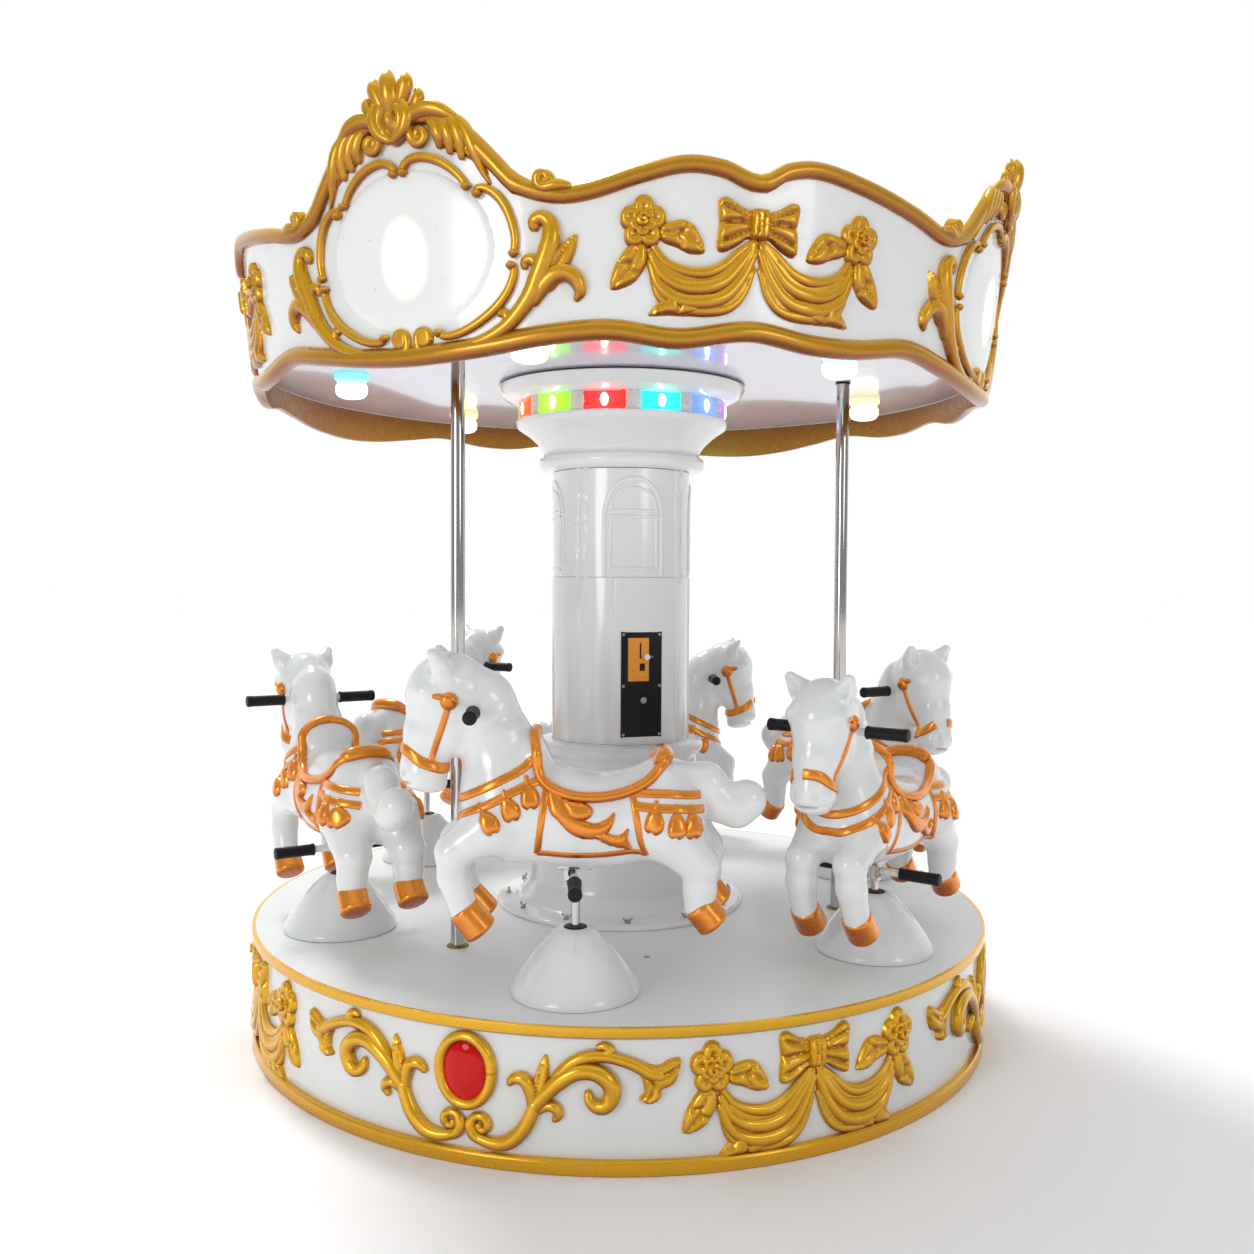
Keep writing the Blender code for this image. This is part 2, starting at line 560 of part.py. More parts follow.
def pedestal_mesh():
    """Hollow moulded cone that stands on the deck and guides the rod at its top."""
    hole = ROD_RADIUS + ROD_CLEARANCE
    r, h, wall = PEDESTAL_RADIUS, PEDESTAL_HEIGHT, PEDESTAL_WALL
    top = PEDESTAL_TOP_RADIUS
    outer = [(hole, h), (top - 8 * MM, h), (top, h - 5 * MM), (0.080, h - 0.050), (0.115, h - 0.094),
             (r - 9 * MM, h - 0.130), (r, 12 * MM), (r, TOUCH)]
    inner = [(r - wall, TOUCH), (r - wall - 9 * MM, h - 0.132), (0.110 - wall, h - 0.094), (top - wall, h - 16 * MM),
             (hole, h - 16 * MM)]
    return turned_mesh("pedestal", outer + inner, 16, ring=True)


def build_horses():
    horse, handlebar, mount, pedestal = horse_mesh(), handlebar_mesh(), mount_mesh(), pedestal_mesh()
    for i in range(HORSE_COUNT):
        angle = HORSE_PHASE + i * 360 / HORSE_COUNT
        floor = round_place(HORSE_CIRCLE, angle, DECK_TOP)
        raised = floor + Vector((0, 0, HORSE_LIFT[i]))
        heading = angle + 180 + HORSE_TURN[i]
        new_object(f"pedestal_{i + 1}", pedestal, "white_gelcoat", floor, angle)
        new_object(f"horse_{i + 1}", horse, "white_gelcoat", raised, heading)
        new_object(f"horse_mount_{i + 1}", mount, "chrome", raised, heading)
        new_object(f"handlebar_{i + 1}", handlebar, "black_rubber", raised, heading)


clear_scene()
PARTS = collection("carousel")
SCRATCH = collection("scratch")
build_base()
build_deck()
build_column()
build_poles()
build_ceiling()
build_canopy()
build_horses()
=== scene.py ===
"""Looks of a six-seat children's carousel of moulded glass-fibre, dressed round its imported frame.

Laid out as an add-on and run as a script. Metres, +Z up, floor at z = 0. Angles go round the turning axis from
the front (-Y), positive towards the right (+X). Horses are made once, facing +X over their rod, and set round the deck.
"""

import itertools
import math

import bmesh
import bpy
import numpy as np
from bpy.props import FloatProperty, FloatVectorProperty, IntProperty, PointerProperty
from bpy.types import Operator, Panel, PropertyGroup
from mathutils import Matrix, Vector
from mathutils.bvhtree import BVHTree
from mathutils.geometry import delaunay_2d_cdt


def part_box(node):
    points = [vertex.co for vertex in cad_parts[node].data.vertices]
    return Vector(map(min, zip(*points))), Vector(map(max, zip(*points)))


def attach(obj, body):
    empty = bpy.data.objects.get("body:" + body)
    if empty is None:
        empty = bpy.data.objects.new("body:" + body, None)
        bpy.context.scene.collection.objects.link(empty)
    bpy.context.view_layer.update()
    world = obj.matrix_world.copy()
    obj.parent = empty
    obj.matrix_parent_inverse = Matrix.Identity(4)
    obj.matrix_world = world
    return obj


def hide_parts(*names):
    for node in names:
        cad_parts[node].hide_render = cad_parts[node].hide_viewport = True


bl_info = {
    "name": "Children's Carousel",
    "version": (1, 0, 0),
    "blender": (4, 5, 0),
    "location": "3D View > Sidebar > Carousel",
    "description": "Dresses the frame of a small fairground carousel with carved, painted and lit pieces",
    "category": "Object",
}

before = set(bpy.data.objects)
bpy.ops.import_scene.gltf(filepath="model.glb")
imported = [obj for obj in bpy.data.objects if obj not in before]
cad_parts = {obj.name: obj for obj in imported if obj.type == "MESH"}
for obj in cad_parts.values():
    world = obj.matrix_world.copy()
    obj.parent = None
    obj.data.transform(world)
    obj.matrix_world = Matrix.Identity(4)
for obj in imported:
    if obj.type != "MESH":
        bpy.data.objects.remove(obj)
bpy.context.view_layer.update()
MM = 0.001

# Places read from the frame
DECK_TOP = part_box("deck")[1].z
DECK_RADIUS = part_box("deck_rim")[1].x
HOUSING_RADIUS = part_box("base_housing")[1].x
HOUSING_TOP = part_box("base_housing")[1].z
HORSE_COUNT = 6
HORSE_PHASE = -7.0
# degrees that each horse is turned on its rod, nose outwards
HORSE_TURN = [10, 0, 10, 10, 7, 10]

def frame_centre(name):
    """Centre of a node's box."""
    low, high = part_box(name)
    return (low + high) / 2


HORSE_CIRCLE = frame_centre("pedestal_1").xy.length


# Numbers and meshes


def linear(code):
    """An sRGB hex colour as linear RGBA. A colour that is already linear is passed on."""
    if not isinstance(code, str):
        return tuple(code)
    channels = [int(code[i:i + 2], 16) / 255 for i in (1, 3, 5)]
    return (*[c / 12.92 if c <= 0.04045 else ((c + 0.055) / 1.055) ** 2.4 for c in channels], 1.0)


def polar(radius, angle, z=0.0):
    """Point on a circle about the turning axis, at an angle in degrees from the front."""
    a = math.radians(angle)
    return Vector((radius * math.sin(a), -radius * math.cos(a), z))


def smooth_path(points, steps=8, closed=False):
    """Catmull-Rom curve through points of any dimension, as an array."""
    p = np.array(points, float)
    if closed:
        p = np.vstack([p[-1], p, p[0], p[1]])
    else:
        p = np.vstack([2 * p[0] - p[1], p, 2 * p[-1] - p[-2]])
    t = np.linspace(0, 1, steps, endpoint=False)[:, None]
    rows = []
    for a, b, c, d in zip(p, p[1:], p[2:], p[3:]):
        rows.append(0.5 * (2 * b + (c - a) * t + (2 * a - 5 * b + 4 * c - d) * t**2 + (3 * b - a - 3 * c + d) * t**3))
    if not closed:
        rows.append(p[-2:-1])
    return np.vstack(rows)


def mirrored(half):
    """A path on the +y side and its mirror image, as one path from side to side."""
    half = list(half)
    other = [(x, -y, z) for x, y, z in reversed(half) if abs(y) > 1e-6]
    return half + other


def piece(name, verts, faces, material, body=None, smooth=True, place=None):
    """A mesh object from points and faces, with its material, on its body."""
    mesh = bpy.data.meshes.new(name)
    mesh.from_pydata([tuple(v) for v in verts], [], [tuple(int(i) for i in f) for f in faces])
    return piece_of(name, mesh, material, body, smooth, place)


def piece_of(name, mesh, material, body=None, smooth=True, place=None):
    """An object of a ready mesh, with its material, on its body."""
    if not mesh.materials:
        mesh.materials.append(material)
        if smooth:
            mesh.shade_smooth()
            mesh.set_sharp_from_angle(angle=math.radians(40))
    if place is not None:
        mesh.transform(place)
    made = bpy.data.objects.new(name, mesh)
    bpy.context.scene.collection.objects.link(made)
    if body:
        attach(made, body)
    return made


def join_shapes(shapes):
    """Several (verts, faces) as one."""
    verts, faces, start = [], [], 0
    for v, f in shapes:
        verts.extend(tuple(p) for p in v)
        faces.extend(tuple(int(i) + start for i in face) for face in f)
        start += len(v)
    return verts, faces


def moved(shape, matrix):
    verts, faces = shape
    flip = matrix.determinant() < 0
    return [matrix @ Vector(v) for v in verts], [tuple(reversed(f)) if flip else tuple(f) for f in faces]


def loft(rings, closed_ring=True, closed_path=False, caps=True):
    """Quads between rings of equal length."""
    n = len(rings[0])
    verts = [p for ring in rings for p in ring]
    faces = []
    rows = len(rings)
    for a in range(rows if closed_path else rows - 1):
        b = (a + 1) % rows
        for i in range(n if closed_ring else n - 1):
            j = (i + 1) % n
            faces.append((a * n + i, a * n + j, b * n + j, b * n + i))
    if caps and not closed_path:
        faces.append(tuple(range(n - 1, -1, -1)))
        faces.append(tuple((rows - 1) * n + i for i in range(n)))
    return verts, faces


def turned(profile, sides=96, closed=False):
    """Revolves (radius, height) points about Z. An open profile starts and ends on the axis."""
    rings = []
    for k in range(sides):
        a = 2 * math.pi * k / sides
        rings.append([(r * math.sin(a), -r * math.cos(a), z) for r, z in profile])
    verts, faces = loft(rings, closed_ring=closed, closed_path=True)
    return welded(verts, faces)


def welded(verts, faces):
    """Merges points that coincide and drops faces that vanish."""
    shape = bmesh.new()
    made = [shape.verts.new(tuple(v)) for v in verts]
    for f in faces:
        if len(set(f)) > 2:
            shape.faces.new([made[i] for i in f])
    bmesh.ops.remove_doubles(shape, verts=shape.verts, dist=1e-6)
    bmesh.ops.dissolve_degenerate(shape, edges=shape.edges, dist=1e-7)
    bmesh.ops.recalc_face_normals(shape, faces=shape.faces)
    shape.verts.index_update()
    out = [v.co.copy() for v in shape.verts], [tuple(v.index for v in f.verts) for f in shape.faces]
    shape.free()
    return out


def rounded_profile(points, radius, steps=4):
    """Rounds each inner corner of an open (radius, height) profile with a small arc."""
    p = [Vector(q) for q in points]
    out = [tuple(p[0])]
    for a, b, c in zip(p, p[1:], p[2:]):
        reach = min(radius, (a - b).length * 0.45, (c - b).length * 0.45)
        start, end = b + (a - b).normalized() * reach, b + (c - b).normalized() * reach
        for k in range(steps + 1):
            t = k / steps
            out.append(tuple(start * (1 - t) ** 2 + b * 2 * t * (1 - t) + end * t**2))
    out.append(tuple(p[-1]))
    return out


def tube(path, radii, sides=16, flatten=1.0, up=None):
    """Round bar along a path of 3D points with a radius at each, its ends closed with domes."""
    p = np.array(path, float)
    r = np.full(len(p), radii, float) if np.isscalar(radii) else np.array(radii, float)
    tangent = np.gradient(p, axis=0)
    tangent /= np.linalg.norm(tangent, axis=1)[:, None] + 1e-12
    side = np.cross(tangent[0], up if up is not None else (0.3, 0.2, 1.0))
    rings = []
    for k in range(len(p)):
        side = side - tangent[k] * (side @ tangent[k])
        side /= np.linalg.norm(side)
        other = np.cross(tangent[k], side)
        ring = []
        for i in range(sides):
            a = 2 * math.pi * i / sides
            ring.append(p[k] + r[k] * (math.cos(a) * side + math.sin(a) * flatten * other))
        rings.append(ring)
    first = [p[0] - tangent[0] * r[0] * 0.5 + (q - p[0]) * 0.6 for q in rings[0]]
    last = [p[-1] + tangent[-1] * r[-1] * 0.5 + (q - p[-1]) * 0.6 for q in rings[-1]]
    return loft([first, *rings, last])


# Materials


def node(tree, kind, inputs=None, **settings):
    """Adds a node with its settings, and sets or links its inputs."""
    made = tree.nodes.new(kind)
    for key, value in settings.items():
        setattr(made, key, value)
    for key, value in (inputs or {}).items():
        if isinstance(value, bpy.types.NodeSocket):
            tree.links.new(value, made.inputs[key])
        else:
            made.inputs[key].default_value = value
    return made


def surface(name, **sockets):
    """A new material with its Principled shader's sockets set, as (material, tree, shader)."""
    made = bpy.data.materials.new(name)
    made.use_nodes = True
    shader = made.node_tree.nodes["Principled BSDF"]
    for key, value in sockets.items():
        shader.inputs[key.replace("_", " ")].default_value = value
    return made, made.node_tree, shader


def grain(tree, size, detail=2.0, source="Object"):
    """Noise whose features are about a size in metres across."""
    place = node(tree, "ShaderNodeTexCoord")
    return node(tree, "ShaderNodeTexNoise", {"Vector": place.outputs[source], "Scale": 1 / size, "Detail": detail})


def spread(tree, value, low, high):
    """Maps a noise's middle range onto a range of numbers."""
    return node(tree, "ShaderNodeMapRange", {"Value": value, "From Min": 0.3, "From Max": 0.7,
                                             "To Min": low, "To Max": high}).outputs["Result"]


def bump(tree, shader, height, distance, strength=1.0):
    made = node(tree, "ShaderNodeBump", {"Height": height, "Distance": distance, "Strength": strength})
    tree.links.new(made.outputs["Normal"], shader.inputs["Normal"])


def colour_between(tree, factor, low, high):
    mix = node(tree, "ShaderNodeMix", data_type="RGBA")
    tree.links.new(factor, mix.inputs[0])
    mix.inputs[6].default_value = linear(low)
    mix.inputs[7].default_value = linear(high)
    return mix.outputs[2]


def white_gelcoat(name, deep, bright, roughness, coat):
    """Polyester gelcoat on glass-fibre, polished in the mould: hard gloss with a long, faint waviness."""
    made, tree, shader = surface(name, IOR=1.5, Coat_Weight=coat, Coat_Roughness=0.05)
    cloud = grain(tree, 0.22, 3)
    tree.links.new(colour_between(tree, cloud.outputs["Fac"], deep, bright), shader.inputs["Base Color"])
    tree.links.new(spread(tree, grain(tree, 0.035).outputs["Fac"], roughness, roughness + 0.08),
                   shader.inputs["Roughness"])
    # the wave left by the glass mat, about 40 mm across
    bump(tree, shader, grain(tree, 0.04, 1).outputs["Fac"], 0.5 * MM, 0.35)
    return made


def gold_paint(name, bright, deep, roughness):
    """Metallic gold lacquer with painted shade: brown on faces that turn down and in hollows, bright on faces that turn
    up.
    """
    made, tree, shader = surface(name, Metallic=0.6, IOR=1.5, Coat_Weight=0.4, Coat_Roughness=0.1)
    # painted shade: the colour runs from the bright colour on faces that turn up to the dark colour on faces that turn
    # down
    form = node(tree, "ShaderNodeNewGeometry")
    upward = node(tree, "ShaderNodeSeparateXYZ", {0: form.outputs["Normal"]}).outputs["Z"]
    underside_painted_shade = node(tree, "ShaderNodeMapRange", {"Value": upward, "From Min": -0.85, "From Max": 0.25},
                 interpolation_type="SMOOTHSTEP")
    # painted shade in hollows: darker where the surface is concave, by its pointiness
    hollow_painted_shade = node(tree, "ShaderNodeMapRange", {"Value": form.outputs["Pointiness"], "From Min": 0.40, "From Max": 0.5,
                                                  "To Min": 0.15})
    share = node(tree, "ShaderNodeMath", {0: underside_painted_shade.outputs["Result"], 1: hollow_painted_shade.outputs["Result"]},
                 operation="MULTIPLY")
    tree.links.new(colour_between(tree, share.outputs["Value"], deep, bright), shader.inputs["Base Color"])
    tree.links.new(spread(tree, grain(tree, 0.03).outputs["Fac"], roughness - 0.03, roughness + 0.05),
                   shader.inputs["Roughness"])
    return made


def chrome():
    """Decorative chrome plate on polished tube: near-mirror, with fine polishing marks round the tube."""
    made, tree, shader = surface("polished_chrome_plate", Base_Color=linear("#C2BFBD"), Metallic=1.0)
    marks = grain(tree, 0.004)
    tree.links.new(spread(tree, marks.outputs["Fac"], 0.05, 0.12), shader.inputs["Roughness"])
    return made


def rubber_grip():
    """Black EPDM rubber, moulded: matt, with a fine leathery grain."""
    made, tree, shader = surface("moulded_epdm_rubber", Base_Color=linear("#070708"), IOR=1.52, Specular_IOR_Level=0.3)
    rough = grain(tree, 1.5 * MM, 2)
    tree.links.new(spread(tree, rough.outputs["Fac"], 0.38, 0.55), shader.inputs["Roughness"])
    bump(tree, shader, rough.outputs["Fac"], 0.2 * MM, 0.6)
    return made


def black_enamel():
    """Black powder coat on steel sheet: satin with a close orange peel."""
    made, tree, shader = surface("black_powder_coat", Base_Color=linear("#060607"), IOR=1.5, Specular_IOR_Level=0.25)
    peel = grain(tree, 1.6 * MM, 1)
    tree.links.new(spread(tree, peel.outputs["Fac"], 0.3, 0.42), shader.inputs["Roughness"])
    bump(tree, shader, peel.outputs["Fac"], 0.08 * MM, 0.6)
    return made


def coin_plate_plastic():
    """Orange ABS, injection moulded: a fine spark texture over even colour."""
    made, tree, shader = surface("orange_moulded_abs", Base_Color=linear("#F09A1E"), IOR=1.53)
    spark = grain(tree, 0.8 * MM, 1)
    tree.links.new(spread(tree, spark.outputs["Fac"], 0.3, 0.45), shader.inputs["Roughness"])
    bump(tree, shader, spark.outputs["Fac"], 0.06 * MM, 0.5)
    return made


def red_acrylic():
    """Red acrylic, cast as a dome: wet gloss over deep colour that lets a little light through."""
    made, tree, shader = surface("cast_red_acrylic", IOR=1.49, Roughness=0.05, Specular_IOR_Level=0.25,
                                 Coat_Weight=0.1, Coat_Roughness=0.02)
    depth = grain(tree, 0.05, 1)
    tree.links.new(colour_between(tree, depth.outputs["Fac"], "#C00000", "#E00400"), shader.inputs["Base Color"])
    bump(tree, shader, grain(tree, 0.03, 1).outputs["Fac"], 0.2 * MM, 0.4)
    return made


def steel_screw():
    """Zinc-plated steel, bright but dulled by handling."""
    made, tree, shader = surface("zinc_plated_steel", Base_Color=linear("#A9A8A4"), Metallic=1.0)
    tree.links.new(spread(tree, grain(tree, 2 * MM).outputs["Fac"], 0.25, 0.45), shader.inputs["Roughness"])
    return made


def clear_acrylic():
    """Frosted clear acrylic over the lights: milky, lit from behind."""
    made, tree, shader = surface("frosted_acrylic", IOR=1.49, Transmission_Weight=0.35)
    milk = grain(tree, 0.02, 1)
    tree.links.new(colour_between(tree, milk.outputs["Fac"], "#F6F4F0", "#FFFDF8"), shader.inputs["Base Color"])
    tree.links.new(spread(tree, milk.outputs["Fac"], 0.2, 0.32), shader.inputs["Roughness"])
    return made


def aged_brass():
    """Turned brass, gone brown where it isn't touched."""
    made, tree, shader = surface("aged_brass", Metallic=1.0)
    stain = grain(tree, 8 * MM)
    tree.links.new(colour_between(tree, stain.outputs["Fac"], "#6E5526", "#A8853F"), shader.inputs["Base Color"])
    tree.links.new(spread(tree, grain(tree, 1.5 * MM).outputs["Fac"], 0.25, 0.45), shader.inputs["Roughness"])
    return made


def opal_glass():
    """White shell lit from behind by a lamp, brightest at the lamp; the glow is kept in the mesh."""
    made, tree, shader = surface("lit_white_gelcoat", IOR=1.5, Roughness=0.16, Base_Color=linear("#ECEEED"))
    lit = node(tree, "ShaderNodeAttribute", attribute_name="glow").outputs["Fac"]
    tree.links.new(colour_between(tree, lit, "#FFD9A0", "#FFF4E0"), shader.inputs["Emission Color"])
    tree.links.new(node(tree, "ShaderNodeMapRange", {"Value": lit, "From Min": 0.02, "From Max": 0.75, "To Max": 1.6},
                        interpolation_type="SMOOTHSTEP").outputs["Result"], shader.inputs["Emission Strength"])
    return made


def light_emitter(name, colour, hot, strength, edge=0.35):
    """Diode or lamp under its lens: coloured at the rim, hotter at the middle, as kept in the mesh's glow."""
    made, tree, shader = surface(name, Base_Color=linear(colour), Roughness=0.2)
    lit = node(tree, "ShaderNodeAttribute", attribute_name="glow").outputs["Fac"]
    tree.links.new(colour_between(tree, lit, colour, hot), shader.inputs["Emission Color"])
    tree.links.new(node(tree, "ShaderNodeMapRange", {"Value": lit, "To Min": strength * edge, "To Max": strength})
                   .outputs["Result"], shader.inputs["Emission Strength"])
    return made


def setting(group):
    """One of the groups of settings that the panel shows."""
    return getattr(bpy.context.scene, f"carousel_{group}")


class Finishes:
    """Every material, made when first asked for."""

    makers = {
        "white": lambda: white_gelcoat("white_polyester_gelcoat", "#E2E6E6", setting("finish").gelcoat, 0.14, 0.5),
        "deck": lambda: white_gelcoat("worn_polyester_gelcoat", "#E4EAE8", "#ECF0EE", 0.34, 0.0),
        # painted shade and painted coloured light: the ceiling's white gelcoat made darker and lilac for the shade
        # under the canopy and the diodes' light
        "ceiling": lambda: white_gelcoat("white_gelcoat_with_painted_ceiling_shade", "#C4C0D0", "#CCC8D8", 0.12, 0.6),
        # gold and amber: the dark second colour is painted shade, used on faces that turn down and in hollows
        "gold": lambda: gold_paint("gold_metallic_lacquer", setting("finish").gold, "#8A4A06", 0.27),
        "amber": lambda: gold_paint("amber_metallic_lacquer", setting("finish").amber, "#A8480C", 0.25),
        "chrome": chrome,
        "rubber": rubber_grip,
        "enamel": black_enamel,
        "orange": coin_plate_plastic,
        "red": red_acrylic,
        "screw": steel_screw,
        "brass": aged_brass,
        "opal": opal_glass,
        "frosted": clear_acrylic,
    }
    made = {}

    @classmethod
    def get(cls, name):
        if name not in cls.made:
            cls.made[name] = cls.makers[name]()
        return cls.made[name]


# Skinning of fused forms: a field gives each point's signed distance, negative inside


def ball(p, centre, half, pitch=0.0):
    """Ellipsoid with half-sizes, pitched about Y by degrees (nose down positive)."""
    q = p - np.array(centre)
    if pitch:
        c, s = math.cos(math.radians(pitch)), math.sin(math.radians(pitch))
        q = np.stack([q[..., 0] * c - q[..., 2] * s, q[..., 1], q[..., 0] * s + q[..., 2] * c], -1)
    half = np.array(half, float)
    k0 = np.linalg.norm(q / half, axis=-1)
    k1 = np.linalg.norm(q / half**2, axis=-1) + 1e-9
    return k0 * (k0 - 1) / k1


def limb(p, chain, narrow=1.0):
    """Round cones along (x, y, z, radius) points; narrow under 1 squeezes it in y about the chain."""
    best = None
    for (ax, ay, az, ar), (bx, by, bz, br) in zip(chain, chain[1:]):
        a, b = np.array((ax, ay, az)), np.array((bx, by, bz))
        q = (p - a) / np.array((1, narrow, 1))
        d = (b - a) / np.array((1, narrow, 1))
        t = np.clip((q @ d) / (d @ d), 0, 1)
        dist = np.linalg.norm(q - t[..., None] * d, axis=-1) - (ar + t * (br - ar))
        best = dist if best is None else melt(best, dist, 0.012)
    return best * min(1.0, (1 + narrow) / 2)


def melt(a, b, k):
    """Smooth union of two fields over a blend width."""
    h = np.maximum(k - np.abs(a - b), 0) / k
    return np.minimum(a, b) - h * h * k / 4


def carve(a, b, k):
    """Takes the second field out of the first, with a rounded edge."""
    return -melt(-a, b, k)


def skin(field, low, high, cell):
    """Mesh of quads where a field crosses zero, one point in each cell that it passes through."""
    axes = [np.arange(a - cell, b + 2 * cell, cell) for a, b in zip(low, high)]
    grid = np.stack(np.meshgrid(*axes, indexing="ij"), -1)
    d = field(grid)
    size = np.array(d.shape)
    total, hits = np.zeros((*(size - 1), 3)), np.zeros(size - 1)

    def corner(offset):
        return tuple(slice(o, o + n - 1) for o, n in zip(offset, size))

    for axis in range(3):
        others = [o for o in range(3) if o != axis]
        for u, v in itertools.product((0, 1), repeat=2):
            start = [0, 0, 0]
            start[others[0]], start[others[1]] = u, v
            end = list(start)
            end[axis] = 1
            a, b = d[corner(start)], d[corner(end)]
            cross = (a < 0) != (b < 0)
            t = np.where(cross, a / np.where(cross, a - b, 1), 0)
            for k in range(3):
                total[..., k] += cross * (start[k] if k != axis else t)
            hits += cross
    active = hits > 0
    index = np.full(active.shape, -1)
    index[active] = np.arange(active.sum())
    cells = np.argwhere(active)
    verts = (cells + total[active] / hits[active][:, None]) * cell + np.array([a[0] for a in axes])
    faces = []
    for axis in range(3):
        u, v = [(1, 2), (2, 0), (0, 1)][axis]
        a = np.moveaxis(d < 0, axis, 0)
        change = np.argwhere(a[:-1] != a[1:])
        for row in change:
            place = [0, 0, 0]
            order = [axis] + [o for o in range(3) if o != axis]
            for k, o in enumerate(order):
                place[o] = row[k]
            if place[u] == 0 or place[v] == 0:
                continue
            quad = []
            for du, dv in ((-1, -1), (0, -1), (0, 0), (-1, 0)):
                q = list(place)
                q[u] += du
                q[v] += dv
                quad.append(index[tuple(q)])
            if not a[tuple(row)]:
                quad.reverse()
            faces.append(quad)
    return verts, faces


# Relief: shapes laid out flat as (along, up, lift) in metres, then bent round a wall


def wrapped(shape, radius_at, phase):
    """Bends a flat shape round the turning axis at an angle in degrees."""
    verts, relief = [], setting("size").relief
    for u, v, h in shape[0]:
        r = radius_at(v)
        a, out = math.radians(phase) + u / r, r + h * relief
        verts.append((out * math.sin(a), -out * math.cos(a), v))
    return verts, shape[1]


def turned_over(shape):
    """Mirror image of a flat shape, left for right."""
    verts, faces = shape
    return [(-u, v, h) for u, v, h in verts], [tuple(reversed(f)) for f in faces]


def both_sides(shapes):
    return list(shapes) + [turned_over(s) for s in shapes]


def stroke(path, radii, lift=0.45, flat=0.9, sides=10, steps=5):
    """Carved rib along (along, up) points in mm, half sunk in the wall, with a radius in mm at each."""
    line = smooth_path([(u, v, r) for (u, v), r in zip(path, radii)], steps) * MM
    radius = np.maximum(line[:, 2], 1.5 * MM)
    centre = np.column_stack([line[:, 0], line[:, 1], radius * lift])
    return tube(centre, radius, sides, flat, up=(0, 0, 1))


def lifted(shape, height):
    """A flat shape set further out, by mm."""
    return [(u, v, h + height * MM) for u, v, h in shape[0]], shape[1]


def leaf(outline, height, edge, creases=(), base=0.0, cell=5.0, groove=5.0, depth=0.4, back=2.0):
    """Pillowed shape from an outline of (along, up) points in mm, closed by a flat back inside the wall."""
    flat, faces, lift = pillow(np.array(outline, float) * MM, height * MM, edge * MM, cell * MM, steps=4)
    for path in creases:
        line = smooth_path(path, 6) * MM
        near = np.linalg.norm(flat[:, None] - line, axis=-1).min(1)
        lift = lift * (1 - depth * np.exp(-((near / (groove * MM)) ** 2)))
    verts = [(u, v, h + base * MM if h > 0 else -back * MM) for (u, v), h in zip(flat, lift)]
    rim = tuple(range(4 * len(outline)))
    turn = sum(a[0] * b[1] - b[0] * a[1] for a, b in zip(flat[list(rim)], flat[list(rim[1:] + rim[:1])]))
    return verts, faces + [rim[::-1] if turn > 0 else rim]


def spiral(centre, outer, inner, turns, start, sign=1, points=10):
    """Points of a volute in mm, from its outer turn inwards."""
    out = []
    for k in range(points + 1):
        t = k / points
        r = outer + (inner - outer) * t
        a = math.radians(start) + sign * 2 * math.pi * turns * t
        out.append((centre[0] + r * math.cos(a), centre[1] + r * math.sin(a)))
    return out


def taper(start, middle, end, count):
    """Radii in mm that swell and fall along a rib."""
    return [start + (middle - start) * min(2 * t, 1) + (end - middle) * max(2 * t - 1, 0)
            for t in np.linspace(0, 1, count)]


def rose(u, v, half_u, half_v):
    """Open rose: five outer petals, five inner ones turned between them, and a rolled bud."""
    shapes = []
    for reach, size, base, height, first in ((0.56, 0.50, 0, 17, 90), (0.27, 0.36, 9, 13, 54)):
        for k in range(5):
            a = math.radians(first + 72 * k)
            cu, cv = u + half_u * reach * math.cos(a), v + half_v * reach * math.sin(a)
            outline = [(cu + half_u * size * math.cos(b), cv + half_v * size * math.sin(b))
                       for b in np.linspace(0, 2 * math.pi, 9, endpoint=False)]
            shapes.append(leaf(outline, height, 13, [[(u, v), (cu, cv)]], base, 4.5, 6.0, 0.35))
    bud = spiral((u, v), half_u * 0.27, half_u * 0.05, 1.3, 30, 1, 10)
    shapes.append(stroke(bud, taper(5.5, 6.0, 5.0, len(bud)), lift=4.1, flat=1.2, sides=8, steps=3))
    return shapes


def bow():
    """Two pleated loops and the knot between them, centred on (0, 0)."""
    loop = [(15, 22), (46, 37), (78, 54), (96, 42), (92, 2), (95, -50), (82, -63), (55, -52), (28, -33), (15, -25)]
    pleats = [[(14, 12), (50, 24), (82, 34)], [(14, 0), (50, 2), (86, -2)], [(14, -14), (50, -26), (80, -38)]]
    knot = [(-20, 30), (0, 34), (20, 30), (23, 0), (20, -31), (0, -35), (-20, -31), (-23, 0)]
    creases = [[(-7, 30), (-5, 0), (-7, -30)], [(8, 30), (6, 0), (8, -30)]]
    return both_sides([leaf(loop, 20, 18, pleats, 0, 4.5, 6, 0.5)]) + [leaf(knot, 27, 14, creases, 0, 4.5, 4, 0.3)]


DRAPE = [
    ([(-234, -56), (-207, -88), (-166, -106), (-120, -109), (-80, -93), (-45, -62), (-11, -36)], 14),
    ([(-238, -72), (-214, -113), (-172, -138), (-120, -141), (-73, -123), (-37, -84), (-8, -44)], 17),
    ([(-238, -90), (-217, -138), (-178, -166), (-122, -171), (-70, -155), (-31, -110), (-5, -54)], 18),
    ([(-231, -118), (-214, -162), (-172, -184), (-118, -188), (-64, -180), (-29, -148), (-7, -92)], 13),
]


